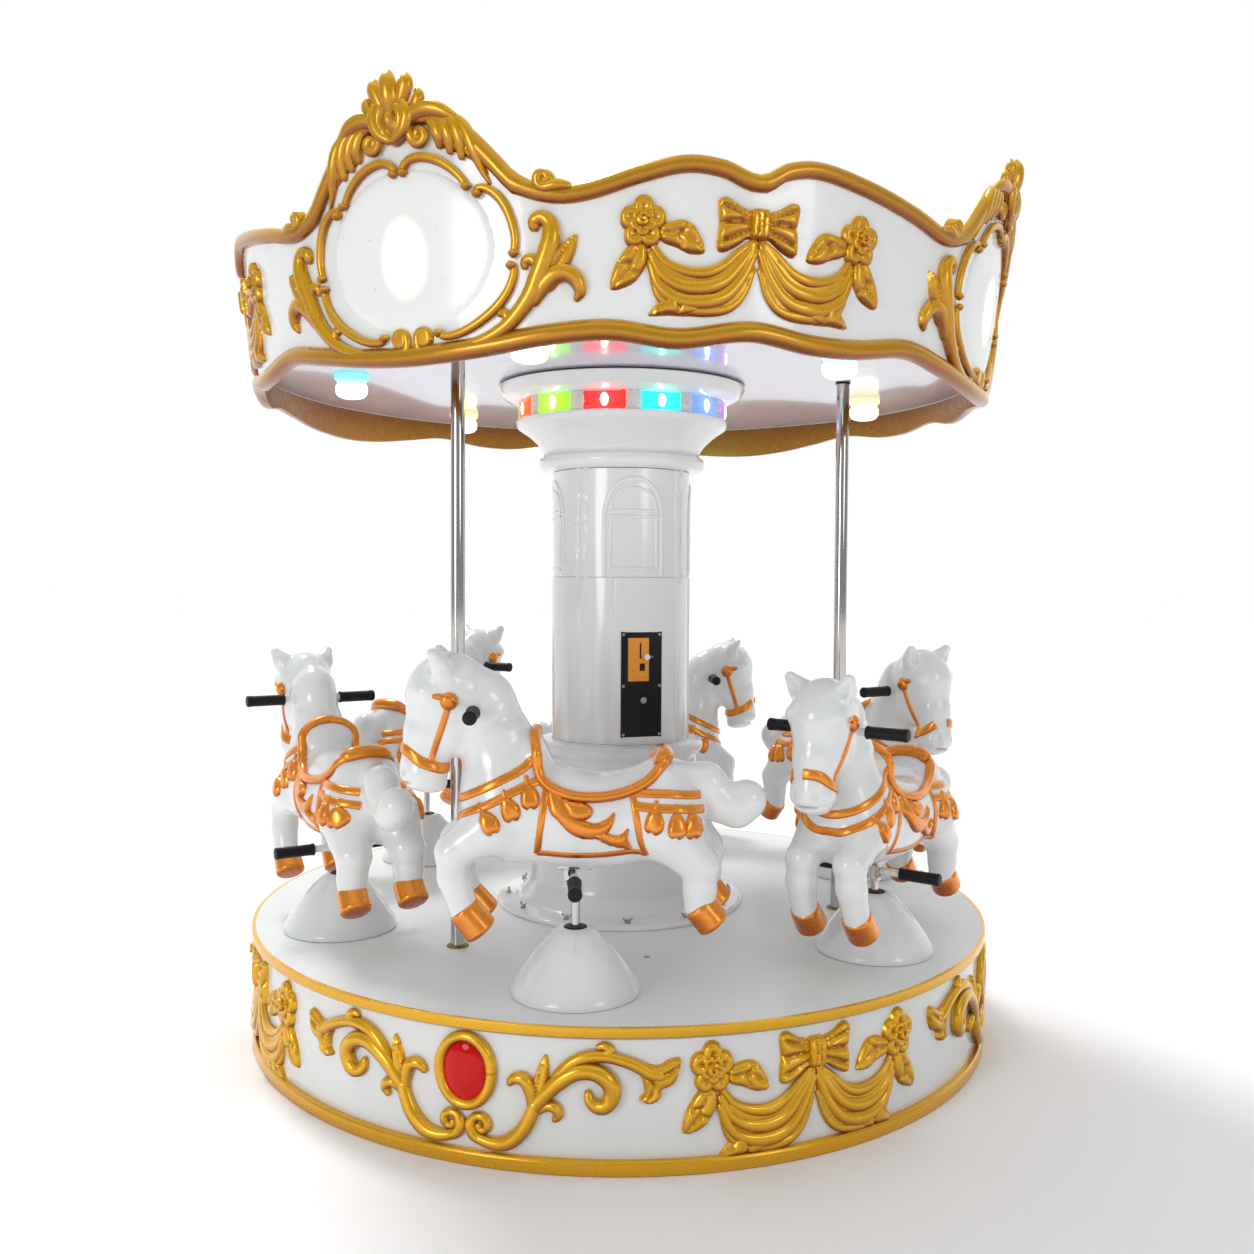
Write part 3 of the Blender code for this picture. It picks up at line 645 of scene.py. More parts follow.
def half_swag():
    """Left half of the garland: rose, its two leaves, the drape up to the knot, and the loose end."""
    shapes = rose(-258, -8, 50, 56)
    shapes.append(leaf([(-222, -14), (-196, -2), (-168, 2), (-142, -12), (-118, -62), (-150, -70), (-182, -58),
                        (-218, -44)], 16, 17, [[(-216, -28), (-168, -26), (-124, -58)],
                                               [(-172, -24), (-160, -8)], [(-178, -30), (-170, -54)]]))
    shapes.append(leaf([(-250, -52), (-244, -86), (-256, -114), (-280, -138), (-322, -148), (-322, -112),
                        (-306, -78), (-284, -52)], 16, 17, [[(-266, -58), (-286, -102), (-316, -142)],
                                                            [(-282, -92), (-304, -92)], [(-286, -104), (-268, -114)]]))
    drape = [(-240, -58), (-214, -78), (-166, -98), (-120, -100), (-80, -84), (-45, -54), (-14, -28), (0, -34),
             (-2, -76), (-12, -130), (-34, -166), (-66, -190), (-120, -198), (-176, -194), (-222, -168), (-240, -120)]
    shapes.append(leaf(drape, 12, 14, cell=9))
    for path, r in DRAPE:
        shapes.append(stroke(path, taper(r * 0.55, r, r * 0.5, len(path)), lift=0.5, flat=0.85))
    shapes.append(leaf([(-200, -142), (-214, -166), (-240, -200), (-196, -200), (-150, -200), (-120, -190),
                        (-140, -168), (-170, -154)], 19, 14, [[(-196, -150), (-208, -176), (-232, -196)],
                                                             [(-176, -158), (-172, -180), (-176, -198)]]))
    return shapes


def swag_shapes():
    """Garland of two roses and a bow, centred under its knot; heights from the knot's middle."""
    return both_sides(half_swag()) + bow()


def acanthus_shapes():
    """Branch at the right of the crest's frame, from its volute at the foot; mm from the crest, up from the deck."""
    shapes = []
    foot = spiral((33, 1536), 5, 19, 1.1, 144, 1, 8)
    shapes.append(leaf([(33 + u, 1536 + v) for u, v in oval(25, 25, 12)], 13, 12))
    stem = foot + [(20, 1508), (50, 1499), (100, 1505), (150, 1514), (195, 1526), (238, 1548), (272, 1579), (299, 1612),
                   (318, 1650), (337, 1690), (351, 1728), (351, 1757), (334, 1772), (317, 1764), (315, 1750)]
    shapes.append(stroke(stem, [9] * 5 + [10] * 4 + [11, 12, 12, 12, 14, 16, 18, 20, 21, 22, 21, 18, 16, 15, 12, 8]))
    shapes.append(leaf([(318, 1620), (330, 1668), (366, 1712), (408, 1740), (402, 1700), (382, 1664), (350, 1622)],
                       19, 15, [[(334, 1632), (364, 1684), (402, 1732)]]))
    curl = [(302, 1596), (326, 1628), (352, 1650), (380, 1655), (401, 1640), (407, 1617), (397, 1600)]
    shapes.append(stroke(curl, [13, 18, 20, 20, 18, 14, 7]))
    small = [(304, 1622), (316, 1650), (316, 1674), (304, 1687), (290, 1682), (288, 1670)]
    shapes.append(stroke(small, [10, 12, 13, 13, 11, 8]))
    low = [(205, 1534), (228, 1546), (241, 1562), (236, 1577), (223, 1576)]
    shapes.append(stroke(low, [9, 10, 12, 11, 8]))
    return shapes


FRAME_ARCS = [
    [(13, 1892), (14, 1905), (35, 1918), (64, 1919), (98, 1909), (130, 1890), (155, 1866), (168, 1846)],
    [(192, 1829), (194, 1840), (215, 1838), (240, 1819), (258, 1790), (268, 1757), (271, 1728), (266, 1700)],
    [(259, 1675), (264, 1664), (256, 1638), (240, 1612), (212, 1584), (170, 1557), (128, 1540), (92, 1535),
     (74, 1543)],
]


def frame_shapes():
    """Half of the broken C-scroll frame round the lamp glass, with a bead at each end of its arcs."""
    shapes = []
    for arc in FRAME_ARCS:
        shapes.append(lifted(stroke(arc, taper(8.5, 11, 8.5, len(arc))), 3))
        for end in (arc[0], arc[-1]):
            shapes.append(lifted(stroke([(end[0], end[1] - 3), end, (end[0], end[1] + 3)], [10, 12.5, 10], lift=0.5,
                                        flat=1, steps=2), 4))
    return shapes


def crest_top_shapes():
    """Right half of the carving at the crest's top: volute, fan of leaf fingers and the outer palmette lobes."""
    shapes = []
    volute = spiral((64, 1962), 5, 19, 1.1, 236, -1, 8) + [(36, 1986), (54, 2006), (86, 2012), (122, 2004),
                                                           (156, 1986)]
    shapes.append(lifted(stroke(volute, [9] * 4 + [11] * 5 + [14, 17, 19, 17, 10]), 8))
    fan = [(74, 2012), (110, 2014), (150, 1996), (186, 1956), (208, 1908), (222, 1862), (196, 1888), (160, 1914),
           (120, 1930), (96, 1952)]
    shapes.append(leaf(fan, 12, 14, cell=9))
    fingers = [[(84, 1998), (103, 1978), (112, 1956), (110, 1934)], [(96, 2002), (124, 1978), (136, 1950), (134, 1920)],
               [(112, 2004), (146, 1980), (161, 1945), (161, 1906)],
               [(134, 2000), (172, 1968), (192, 1922), (206, 1878), (221, 1850)]]
    for path in fingers:
        shapes.append(stroke(path, [10, 15, 15, 8, 4][:len(path)], lift=0.75))
    shapes.append(lifted(stroke([(16, 2010), (30, 2044), (42, 2072), (42, 2088)], [12, 17, 18, 11], lift=0.5), 6))
    shapes.append(lifted(stroke([(36, 2004), (58, 2022), (70, 2042), (66, 2056)], [10, 14, 14, 9], lift=0.5), 4))
    return shapes


def crest_middle_shapes():
    """Pieces on the crest's centre line: the tall palmette lobe and the cupped shell under it."""
    shell = [(0, 2040), (30, 2036), (46, 2008), (36, 1974), (0, 1950), (-36, 1974), (-46, 2008), (-30, 2036)]
    shapes = [lifted(stroke([(0, 2014), (0, 2046), (0, 2078), (0, 2098)], [15, 23, 22, 12], lift=0.5), 10),
              leaf(shell, 24, 26, [[(0, 2034), (-15, 2000), (0, 1964)], [(0, 2034), (15, 2000), (0, 1964)]],
                   base=14, groove=7, depth=0.5)]
    for side in (1, -1):
        shapes.append(lifted(stroke([(side * 4, 1956), (side * 32, 1974), (side * 45, 2006), (side * 36, 2034)],
                                    [9, 13, 14, 9]), 20))
    return shapes


def shoulder_shapes():
    """Scroll that sits on the rail where the crest meets the lower wall."""
    curl = spiral((344, 1848), 4, 18, 1.0, 270, 1, 8) + [(372, 1834), (398, 1832)]
    boss = leaf([(344 + u, 1848 + v) for u, v in oval(25, 25, 12)], 18, 14, base=2)
    return [boss, lifted(stroke(curl, [9] * 5 + [11] * 4 + [13, 9]), 12)]


def base_branch_shapes():
    """Scrolled branch at the right of a medallion; mm from the medallion's centre, up from the floor."""
    shapes = []
    foot = spiral((38, 90), 6, 31, 1.25, 180, 1, 10)
    stem = foot + [(72, 54), (104, 62), (134, 88), (154, 122), (166, 156)]
    shapes.append(stroke(stem, [9] * 4 + [11] * 4 + [13] * 3 + [16, 18, 18, 17, 15]))
    spin = [(150, 120), (170, 152), (196, 186), (230, 216), (262, 233), (292, 235), (319, 224), (337, 202), (337, 176),
            (322, 157), (302, 156), (288, 169), (284, 186)]
    shapes.append(stroke(spin, [11, 16, 19, 20, 20, 20, 21, 21, 20, 19, 16, 13, 9]))
    upper = [(196, 188), (220, 224), (252, 254), (290, 268), (330, 267), (368, 257), (400, 243), (424, 229),
             (446, 224)]
    shapes.append(stroke(upper, [10, 14, 15, 15, 14, 14, 15, 16, 16]))
    shapes.append(leaf([(408, 252), (440, 247), (466, 260), (490, 262), (490, 232), (476, 202), (450, 190),
                        (448, 172), (422, 158), (396, 170), (408, 186), (404, 212), (394, 236)], 19, 17,
                       [[(408, 240), (445, 226), (482, 242)], [(414, 228), (430, 200), (420, 172)]]))
    left = [(160, 142), (155, 180), (142, 206), (121, 209), (105, 195)]
    shapes.append(stroke(left, [12, 15, 16, 14, 9]))
    shapes.append(leaf([(156, 150), (158, 190), (168, 234), (190, 270), (198, 238), (194, 196), (178, 148)], 17, 13,
                       [[(166, 165), (176, 215), (188, 258)]]))
    small = [(172, 138), (192, 150), (210, 149), (219, 133), (209, 119)]
    shapes.append(stroke(small, [10, 12, 14, 12, 8]))
    top = [(296, 264), (320, 270), (333, 282), (321, 291), (306, 288)]
    shapes.append(stroke(top, [13, 13, 12, 11, 8]))
    return shapes


def repeated(name, shape, finish, body, phase, radius_at, count=4):
    """The same relief at equal steps round the axis. Returns the pieces."""
    made = []
    for k in range(count):
        verts, faces = wrapped(shape, radius_at, phase + 360 / count * k)
        made.append(piece(f"{name}_{k + 1}", verts, faces, Finishes.get(finish), body))
    return made


def set_glow(made, shape, centre, reach):
    """Keeps in the mesh how near each point lies to a lamp, from 1 at the centre to 0 at its reach."""
    values = [max(0.0, 1 - math.hypot((u - centre[0]) / reach[0], (v - centre[1]) / reach[1])) for u, v, _ in shape[0]]
    made.data.attributes.new("glow", "FLOAT", "POINT").data.foreach_set("value", values)


# Base


BASE_PHASE = -18.6
BASE_SWAG_OFFSET = 43.4
MEDALLION_LEVEL = 214
BASE_SWAG_KNOT = 243
REPEATS = 4


def base_radius(z):
    return HOUSING_RADIUS


def add_base():
    ring_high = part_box("base_ring")[1].z
    skirt = turned(rounded_profile([(0, HOUSING_TOP), (HOUSING_RADIUS, HOUSING_TOP), (HOUSING_RADIUS, 1 * MM),
                                    (0, 1 * MM)], 3 * MM), 160)
    made = piece("base_skirt", *skirt, Finishes.get("white"), "base")
    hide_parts("base_housing")
    outer = DECK_RADIUS
    ring = turned(rounded_profile([(HOUSING_RADIUS - 2 * MM, ring_high), (outer - 4 * MM, ring_high),
                                   (outer, ring_high - 6 * MM), (outer, 0), (HOUSING_RADIUS - 2 * MM, 0)], 2 * MM),
                  160, closed=True)
    made = piece("base_ring_gilt", *ring, Finishes.get("gold"), "base")
    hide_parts("base_ring")


def oval(half_u, half_v, count=24):
    return [(half_u * math.cos(a), half_v * math.sin(a)) for a in np.linspace(0, 2 * math.pi, count, endpoint=False)]


def add_medallions():
    frame_path = [(u, v + MEDALLION_LEVEL) for u, v in oval(64, 79)]
    frame_path = frame_path + frame_path[:1]
    border = stroke(frame_path, [13] * len(frame_path), lift=0.6, flat=1.0, sides=12, steps=3)
    stone = leaf([(u, v + MEDALLION_LEVEL) for u, v in oval(58, 73, 16)], 20, 60, base=3)
    repeated("medallion_frame", border, "gold", "base", BASE_PHASE, base_radius)
    for k, made in enumerate(repeated("medallion_stone", stone, "red", "base", BASE_PHASE,
                                      base_radius)):
        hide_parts(f"base_medallion_{k + 1}")


def add_base_relief():
    branches = join_shapes(both_sides(base_branch_shapes()))
    tall = 1.06
    verts, faces = join_shapes(swag_shapes())
    swag = [(u, (v * tall + BASE_SWAG_KNOT * MM), h) for u, v, h in verts], faces
    repeated("base_branch", branches, "gold", "base", BASE_PHASE, base_radius)
    repeated("base_swag", swag, "gold", "base", BASE_PHASE + BASE_SWAG_OFFSET, base_radius)


# Deck, column and poles


def add_deck():
    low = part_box("deck")[0].z
    inner = DECK_RADIUS - 9 * MM
    plate = turned(rounded_profile([(0, DECK_TOP), (inner, DECK_TOP), (inner, low), (0, low)], 1.5 * MM), 160)
    made = piece("deck_plate", *plate, Finishes.get("deck"), "turntable")
    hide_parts("deck")
    band = turned(rounded_profile([(inner - 1 * MM, DECK_TOP + 0.2 * MM), (DECK_RADIUS, DECK_TOP + 0.2 * MM),
                                   (DECK_RADIUS, low), (inner - 1 * MM, low)], 2.5 * MM), 160, closed=True)
    made = piece("deck_band", *band, Finishes.get("gold"), "turntable")
    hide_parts("deck_rim")
    plug = turned(rounded_profile([(0, 2 * MM), (6 * MM, 2.2 * MM), (9 * MM, 0.6 * MM), (9 * MM, -1 * MM),
                                   (0, -1 * MM)], 1 * MM, 2), 24)
    made = piece("deck_plug", *moved(plug, Matrix.Translation(polar(0.606, 7, DECK_TOP))), Finishes.get("screw"),
                 "turntable")


SHAFT_RADIUS = 0.213
SHAFT_PANELS = 4
SHAFT_PANEL_CENTRE = 23.4
SHAFT_PANEL_HALF = 29.6
DOOR_CENTRE = 10.4


def shaft_radius(angle, z, panel_low, panel_high, flat):
    """The shaft's radius: raised upright panels, and a flat where the coin plate is let in."""
    step = 360 / SHAFT_PANELS
    from_centre = abs((angle - SHAFT_PANEL_CENTRE + step / 2) % step - step / 2)
    radius = SHAFT_RADIUS - 5 * MM * np.clip((from_centre - SHAFT_PANEL_HALF) / 1.5 + 0.5, 0, 1)
    if panel_low < z < panel_high and abs(angle - COIN_ANGLE) < 30:
        radius = min(radius, flat / math.cos(math.radians(angle - COIN_ANGLE)))
    return radius


COIN_ANGLE = 17.5


def add_column():
    z = DECK_TOP
    foot_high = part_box("column_foot")[1].z
    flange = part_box("column_foot")[1].x
    foot = turned(rounded_profile([
        (0, foot_high), (SHAFT_RADIUS - 2 * MM, foot_high), (0.250, foot_high - 4 * MM), (0.258, foot_high - 22 * MM),
        (0.250, foot_high - 40 * MM), (0.236, foot_high - 52 * MM), (0.246, z + 0.30), (0.278, z + 0.07),
        (0.312, z + 0.022), (flange - 6 * MM, z + 13 * MM), (flange, z + 8 * MM), (flange, z + 0.5 * MM),
        (0, z + 0.5 * MM)], 14 * MM, 6), 128)
    made = piece("column_base", *foot, Finishes.get("white"), "turntable")
    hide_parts("column_foot")
    low_box, high_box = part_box("coin_panel")
    lower_low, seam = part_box("column_lower")[0].z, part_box("column_lower")[1].z
    plate_low, plate_high = low_box.z, high_box.z
    flat = 0.2031
    heights = [lower_low, plate_low + 1 * MM, plate_low + 1.5 * MM, plate_high - 1.5 * MM, plate_high - 1 * MM,
               seam - 1.5 * MM, seam]
    angles = np.arange(0, 360, 1.0) - 180
    rings = []
    for h in heights:
        shrink = 1.5 * MM if h == seam else 0
        rings.append([polar(shaft_radius(a, h, plate_low + 1.2 * MM, plate_high - 1.2 * MM, flat) - shrink, a, h)
                      for a in angles])
    made = piece("shaft_lower", *loft(rings), Finishes.get("white"), "turntable")
    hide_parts("column_lower")
    add_upper_shaft(seam)
    add_foot_bolts()


def add_upper_shaft(seam):
    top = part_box("column_upper")[1].z
    radius = SHAFT_RADIUS - 3 * MM
    profile = [(0, top), (radius, top), (radius, seam + 2 * MM), (radius - 1.5 * MM, seam + 0.5 * MM),
               (0, seam + 0.5 * MM)]
    shapes = [turned(profile, 128)]
    low, high = (seam - DECK_TOP) * 1000 + 3, (top - DECK_TOP) * 1000 - 3
    strip = leaf([(-9, low), (9, low), (9, high), (-9, high)], 5, 4, cell=9)
    for k in range(SHAFT_PANELS):
        phase = DOOR_CENTRE + 360 / SHAFT_PANELS * k
        shapes.extend(wrapped(raised(strip), lambda h: radius, phase + side * 41) for side in (1, -1))
        shapes.extend(wrapped(raised(s), lambda h: radius, phase) for s in door_shapes())
    made = piece("shaft_upper", *join_shapes(shapes), Finishes.get("white"), "turntable")
    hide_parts("column_upper")


def raised(shape):
    """A flat shape given from the deck, lifted to the deck's height."""
    return [(u, v + DECK_TOP, h) for u, v, h in shape[0]], shape[1]


def door_shapes():
    """Blind arched door moulded in the upper shaft: outer arch, fanlight and panel, as low round beads."""
    outer = [(-88, 1006), (-89, 1080), (-88, 1160), (-86, 1200), (-68, 1252), (-36, 1282), (0, 1290)]
    light = [(0, 1262), (-34, 1256), (-58, 1236), (-70, 1200), (-66, 1196), (0, 1196)]
    panel = [(0, 1178), (-68, 1178), (-71, 1174), (-71, 1100), (-71, 1030), (-68, 1026), (0, 1026)]
    shapes = []
    for path, r in ((outer, 7), (light, 5.5), (panel, 5.5)):
        whole = path + [(-u, v) for u, v in reversed(path) if abs(u) > 1]
        if path is not outer:
            whole = whole + whole[:1]
        shapes.append(stroke(whole, [r] * len(whole), lift=0.0, flat=0.75, sides=10, steps=5))
    return shapes


def screw_shape(radius, height):
    """Pan-head screw with a round dip in the middle of its head, on its own Z axis."""
    head = turned([(0, height * 0.75), (radius * 0.25, height * 0.8), (radius * 0.3, height), (radius * 0.7, height * 0.85),
                   (radius, height * 0.35), (radius, -height * 0.6), (0, -height * 0.6)], 16)
    return head


def add_foot_bolts():
    bolts = []
    for k in range(12):
        angle = 4 + 30 * k
        place = Matrix.Translation(polar(0.345, angle, DECK_TOP + 15 * MM)) @ Matrix.Rotation(math.radians(angle), 4, "Z")
        washer = turned(rounded_profile([(0, 2 * MM), (11 * MM, 2 * MM), (11 * MM, -1 * MM), (0, -1 * MM)], 0.7 * MM, 2), 20)
        stud = turned([(0, 13 * MM), (3.4 * MM, 12 * MM), (4 * MM, 9 * MM), (7 * MM, 8 * MM), (7 * MM, 2 * MM),
                       (0, 2 * MM)], 12)
        bolts.append(moved(washer, place))
        bolts.append(moved(stud, place))
        for side in (1, -1):
            wing = tube([(side * 4 * MM, 0, 6 * MM), (side * 9 * MM, 0, 9 * MM), (side * 13 * MM, 0, 15 * MM)],
                        [3 * MM, 3.4 * MM, 3.8 * MM], 8, 0.6)
            bolts.append(moved(wing, place))
    made = piece("foot_wing_nuts", *join_shapes(bolts), Finishes.get("screw"), "turntable")


def add_capital():
    z = DECK_TOP
    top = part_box("capital")[1].z
    led_low, led_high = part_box("led_band")[0].z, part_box("led_band")[1].z
    profile = [(0, top), (0.329, top), (0.329, top - 4.7 * MM), (0.379, top - 4.7 * MM), (0.376, top - 14 * MM),
               (0.363, led_high + 16 * MM), (0.326, led_high), (0.303, led_high), (0.303, led_low), (0.327, led_low),
               (0.322, z + 1.456), (0.285, z + 1.432), (0.256, z + 1.405), (0.2385, z + 1.380), (0.240, z + 1.366),
               (0.2525, z + 1.362), (0.2555, z + 1.344), (0.2495, z + 1.326), (0.212, z + 1.3215), (0, z + 1.3215)]
    made = piece("column_capital", *turned(rounded_profile(profile, 7 * MM, 5), 144), Finishes.get("white"),
                 "turntable")
    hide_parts("capital")


LED_COLOURS = ["#FF2A2A", "#20E8E0", "#6A90FF", "#B070FF", "#FF3A60", "#7CFF30", "#4AA0FF", "#FFC020", "#FF3050",
               "#30E8C0", "#FF5A20", "#98F030"]


def add_led_band():
    low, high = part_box("led_band")
    radius = 0.3165
    band = turned(rounded_profile([(0.304, high.z), (radius, high.z), (radius, low.z), (0.304, low.z)], 2 * MM, 3),
                  144, closed=True)
    made = piece("light_band", *band, Finishes.get("frosted"), "turntable")
    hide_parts("led_band")
    middle = (low.z + high.z) / 2
    power = setting("light").diode
    cell = leaf([(-62, -27), (-30, -27.5), (0, -27.5), (30, -27.5), (62, -27), (63, 0), (62, 27), (30, 27.5),
                 (0, 27.5), (-30, 27.5), (-62, 27), (-63, 0)], 2.5, 3, cell=7)
    lens = leaf(oval(15, 22, 14), 5, 12, cell=4)
    for k, colour in enumerate(LED_COLOURS):
        for tag, shape, reach, hot, strength in (("cell", cell, (0.080, 0.070), mixed(colour, 0.12), power * 0.09),
                                                 ("lens", lens, (0.018, 0.026), mixed(colour, 0.8), power)):
            glow = light_emitter(f"led_{tag}_{k + 1}", colour, hot, strength)
            body = [(u, v + middle, h) for u, v, h in shape[0]], shape[1]
            part = piece(f"led_{tag}_{k + 1}", *wrapped(body, lambda h: radius, -9 + 30 * k), glow, "turntable")
            set_glow(part, body, (0, middle), reach)


def mixed(colour, share):
    """A hex colour moved a share of the way to white."""
    return "#" + "".join(f"{round(int(colour[i:i + 2], 16) * (1 - share) + 255 * share):02X}" for i in (1, 3, 5))


def flat_plate(width, height, thick, bevel, x=0.0, z=0.0, y=0.0):
    """Plate facing -Y with rounded edges, centred at (x, z) with its back at y."""
    shape = bmesh.new()
    bmesh.ops.create_cube(shape, size=1.0, matrix=Matrix.Translation((x, y - thick / 2, z))
                          @ Matrix.Diagonal((width, thick, height, 1)))
    bmesh.ops.bevel(shape, geom=shape.edges, offset=bevel, segments=3, affect="EDGES", profile=0.6)
    shape.verts.index_update()
    out = [v.co.copy() for v in shape.verts], [tuple(v.index for v in f.verts) for f in shape.faces]
    shape.free()
    return out


def facing(shape, x, z, y):
    """A shape made on its own Z axis, turned to face -Y at (x, y, z)."""
    return moved(shape, Matrix.Translation((x, y, z)) @ Matrix.Rotation(math.radians(90), 4, "X"))


def add_coin_panel():
    low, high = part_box("coin_panel")
    width, tall = 0.126, high.z - low.z
    middle = (low.z + high.z) / 2
    turn = Matrix.Rotation(math.radians(COIN_ANGLE), 4, "Z")
    back, front = -0.2008, -0.2068
    parts = {"enamel": [flat_plate(width, tall, front * -1 + back, 1.5 * MM, z=middle, y=back)], "orange": [],
             "screw": [], "rubber": [], "white": []}
    for x in (-0.056, 0.056):
        for z in (middle - tall / 2 + 8 * MM, middle - 4 * MM, middle + tall / 2 - 8 * MM):
            parts["screw"].append(facing(screw_shape(4.6 * MM, 2.6 * MM), x, z, front))
    slot_z = high.z - 0.082
    parts["orange"].append(flat_plate(0.064, 0.128, 7.4 * MM, 2 * MM, -0.011, slot_z, front + 1 * MM))
    face = front - 6.4 * MM
    parts["rubber"].append(flat_plate(5 * MM, 0.046, 2 * MM, 0.8 * MM, -0.006, slot_z + 0.026, face + 1 * MM))
    parts["rubber"].append(flat_plate(0.016, 0.022, 2 * MM, 0.8 * MM, 0.000, slot_z - 0.022, face + 1 * MM))
    knob = turned(rounded_profile([(0, 14 * MM), (9 * MM, 13 * MM), (10 * MM, 6 * MM), (5 * MM, 3 * MM), (5 * MM, -1 * MM),
                                   (0, -1 * MM)], 2.5 * MM, 4), 28)
    parts["white"].append(facing(knob, 0.012, slot_z + 0.008, face))
    for x, z in ((-0.030, 0.047), (-0.026, -0.034), (0.012, -0.052), (-0.030, -0.054)):
        parts["screw"].append(facing(screw_shape(2.8 * MM, 1.8 * MM), x, slot_z + z, face))
    parts["screw"].append(facing(screw_shape(3.2 * MM, 3 * MM), 0.033, slot_z + 0.008, front))
    lock = turned(rounded_profile([(0, 1.5 * MM), (4 * MM, 1.5 * MM), (4.5 * MM, 4 * MM), (9 * MM, 4 * MM),
                                   (10 * MM, 1 * MM), (10 * MM, -1 * MM), (0, -1 * MM)], 1 * MM, 3), 32)
    parts["screw"].append(facing(lock, 0.006, middle - 0.047, front))
    for finish, shapes in parts.items():
        made = piece(f"coin_box_{finish}", *moved(join_shapes(shapes), turn), Finishes.get(finish), "turntable")
        if finish == "enamel":
            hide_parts("coin_panel")


def add_poles():
    for k in range(3):
        name = f"pole_{k + 1}"
        centre = frame_centre(name)
        low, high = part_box(name)
        r = 19 * MM
        tube_shape = turned([(0, high.z), (r, high.z), (r, low.z), (0, low.z)], 40)
        place = Matrix.Translation((centre.x, centre.y, 0))
        made = piece(f"{name}_tube", *moved(tube_shape, place), Finishes.get("chrome"), "turntable")
        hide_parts(name)
        gland = turned(rounded_profile([(r, low.z + 5 * MM), (r + 9 * MM, low.z + 4 * MM), (r + 12 * MM, low.z),
                                        (r, low.z)], 1.5 * MM, 3), 40, closed=True)
        made = piece(f"{name}_gland", *moved(gland, place), Finishes.get("brass"), "turntable")
        cap = turned(rounded_profile([(r, high.z), (r + 3 * MM, high.z), (r + 3 * MM, high.z - 5 * MM),
                                      (r, high.z - 5 * MM)], 1 * MM, 2), 40, closed=True)
        made = piece(f"{name}_collar", *moved(cap, place), Finishes.get("enamel"), "turntable")


# Canopy

WALL_RADIUS = 1.066
WALL_LEVEL = 1.5136
WALL_FLARE = 0.13
WALL_THICK = 10 * MM
CREST_PHASE = -26.5
CANOPY_SWAG_OFFSET = 42.2
CANOPY_SWAG_KNOT = 1768
LAMP_GLASS_LEVEL = 1727
# (degrees from a crest, height above the deck) of the wall's edges, once round a quarter
TOP_EDGE = [(0, 2.030), (3.9, 2.023), (6.5, 2.010), (8.7, 1.982), (10.7, 1.946), (12.8, 1.904), (14.5, 1.870),
            (17, 1.846), (19.8, 1.837), (23, 1.846), (27.9, 1.876), (33.3, 1.902), (37.8, 1.897), (42, 1.873),
            (45, 1.902), (49, 1.915), (55.5, 1.899), (65, 1.864), (70.2, 1.842), (73, 1.846), (75.5, 1.870),
            (77.2, 1.904), (79.3, 1.946), (81.3, 1.982), (83.5, 2.010), (86.1, 2.023), (90, 2.030)]
LOW_EDGE = [(0, 1.477), (10, 1.488), (17, 1.506), (25, 1.516), (33, 1.499), (42, 1.521), (50, 1.503), (57, 1.504),
            (66, 1.524), (74, 1.505), (82, 1.485), (90, 1.477)]


def canopy_radius(z):
    """Outer radius of the flared wall at a height above the floor."""
    return WALL_RADIUS + WALL_FLARE * (z - DECK_TOP - WALL_LEVEL)


def edge_height(points, angle):
    """Height above the floor of a smooth edge that repeats every quarter."""
    at = angle % 90
    x = [p[0] for p in points]
    y = [p[1] for p in points]
    i = min(max(np.searchsorted(x, at, "right") - 1, 0), len(x) - 2)
    before = (x[i - 1], y[i - 1]) if i else (x[-2] - 90, y[-2])
    after = (x[i + 2], y[i + 2]) if i + 2 < len(x) else (x[1] + 90, y[1])
    slope0 = (y[i + 1] - before[1]) / (x[i + 1] - before[0])
    slope1 = (after[1] - y[i]) / (after[0] - x[i])
    span = x[i + 1] - x[i]
    t = (at - x[i]) / span
    value = ((2 * t**3 - 3 * t**2 + 1) * y[i] + (t**3 - 2 * t**2 + t) * span * slope0
             + (3 * t**2 - 2 * t**3) * y[i + 1] + (t**3 - t**2) * span * slope1)
    return DECK_TOP + float(value)


def round_the_wall(section, steps=360):
    """Lofts a closed (radius, height) section, given by angle from the crest, round the axis."""
    rings = []
    for k in range(steps):
        angle = 360 * k / steps
        rings.append([polar(r, CREST_PHASE + angle, z) for r, z in section(angle)])
    return loft(rings, closed_path=True)


def wall_section(angle):
    low, high = edge_height(LOW_EDGE, angle) + 12 * MM, edge_height(TOP_EDGE, angle) - 8 * MM
    return [(canopy_radius(low) - WALL_THICK, low), (canopy_radius(high) - WALL_THICK, high),
            (canopy_radius(high), high), (canopy_radius(low), low)]


def rail_round(angle, points, slope):
    """Stretches a rail's upright section where its edge climbs, so that it keeps its thickness."""
    step = 0.5
    climb = (edge_height(points, angle + step) - edge_height(points, angle - step)) / math.radians(2 * step)
    return min(math.hypot(1, climb / WALL_RADIUS), slope)


def top_rail_section(angle):
    high = edge_height(TOP_EDGE, angle)
    s = rail_round(angle, TOP_EDGE, 1.6)
    r = canopy_radius(high)
    outline = [(-12, 24), (-12.5, 8), (-8, 1.5), (0, 0), (9, 2), (16, 8), (18.5, 16), (18, 25), (13, 33), (5, 38),
               (-2, 38)]
    return [(r + a * MM, high - b * s * MM) for a, b in reversed(outline)]


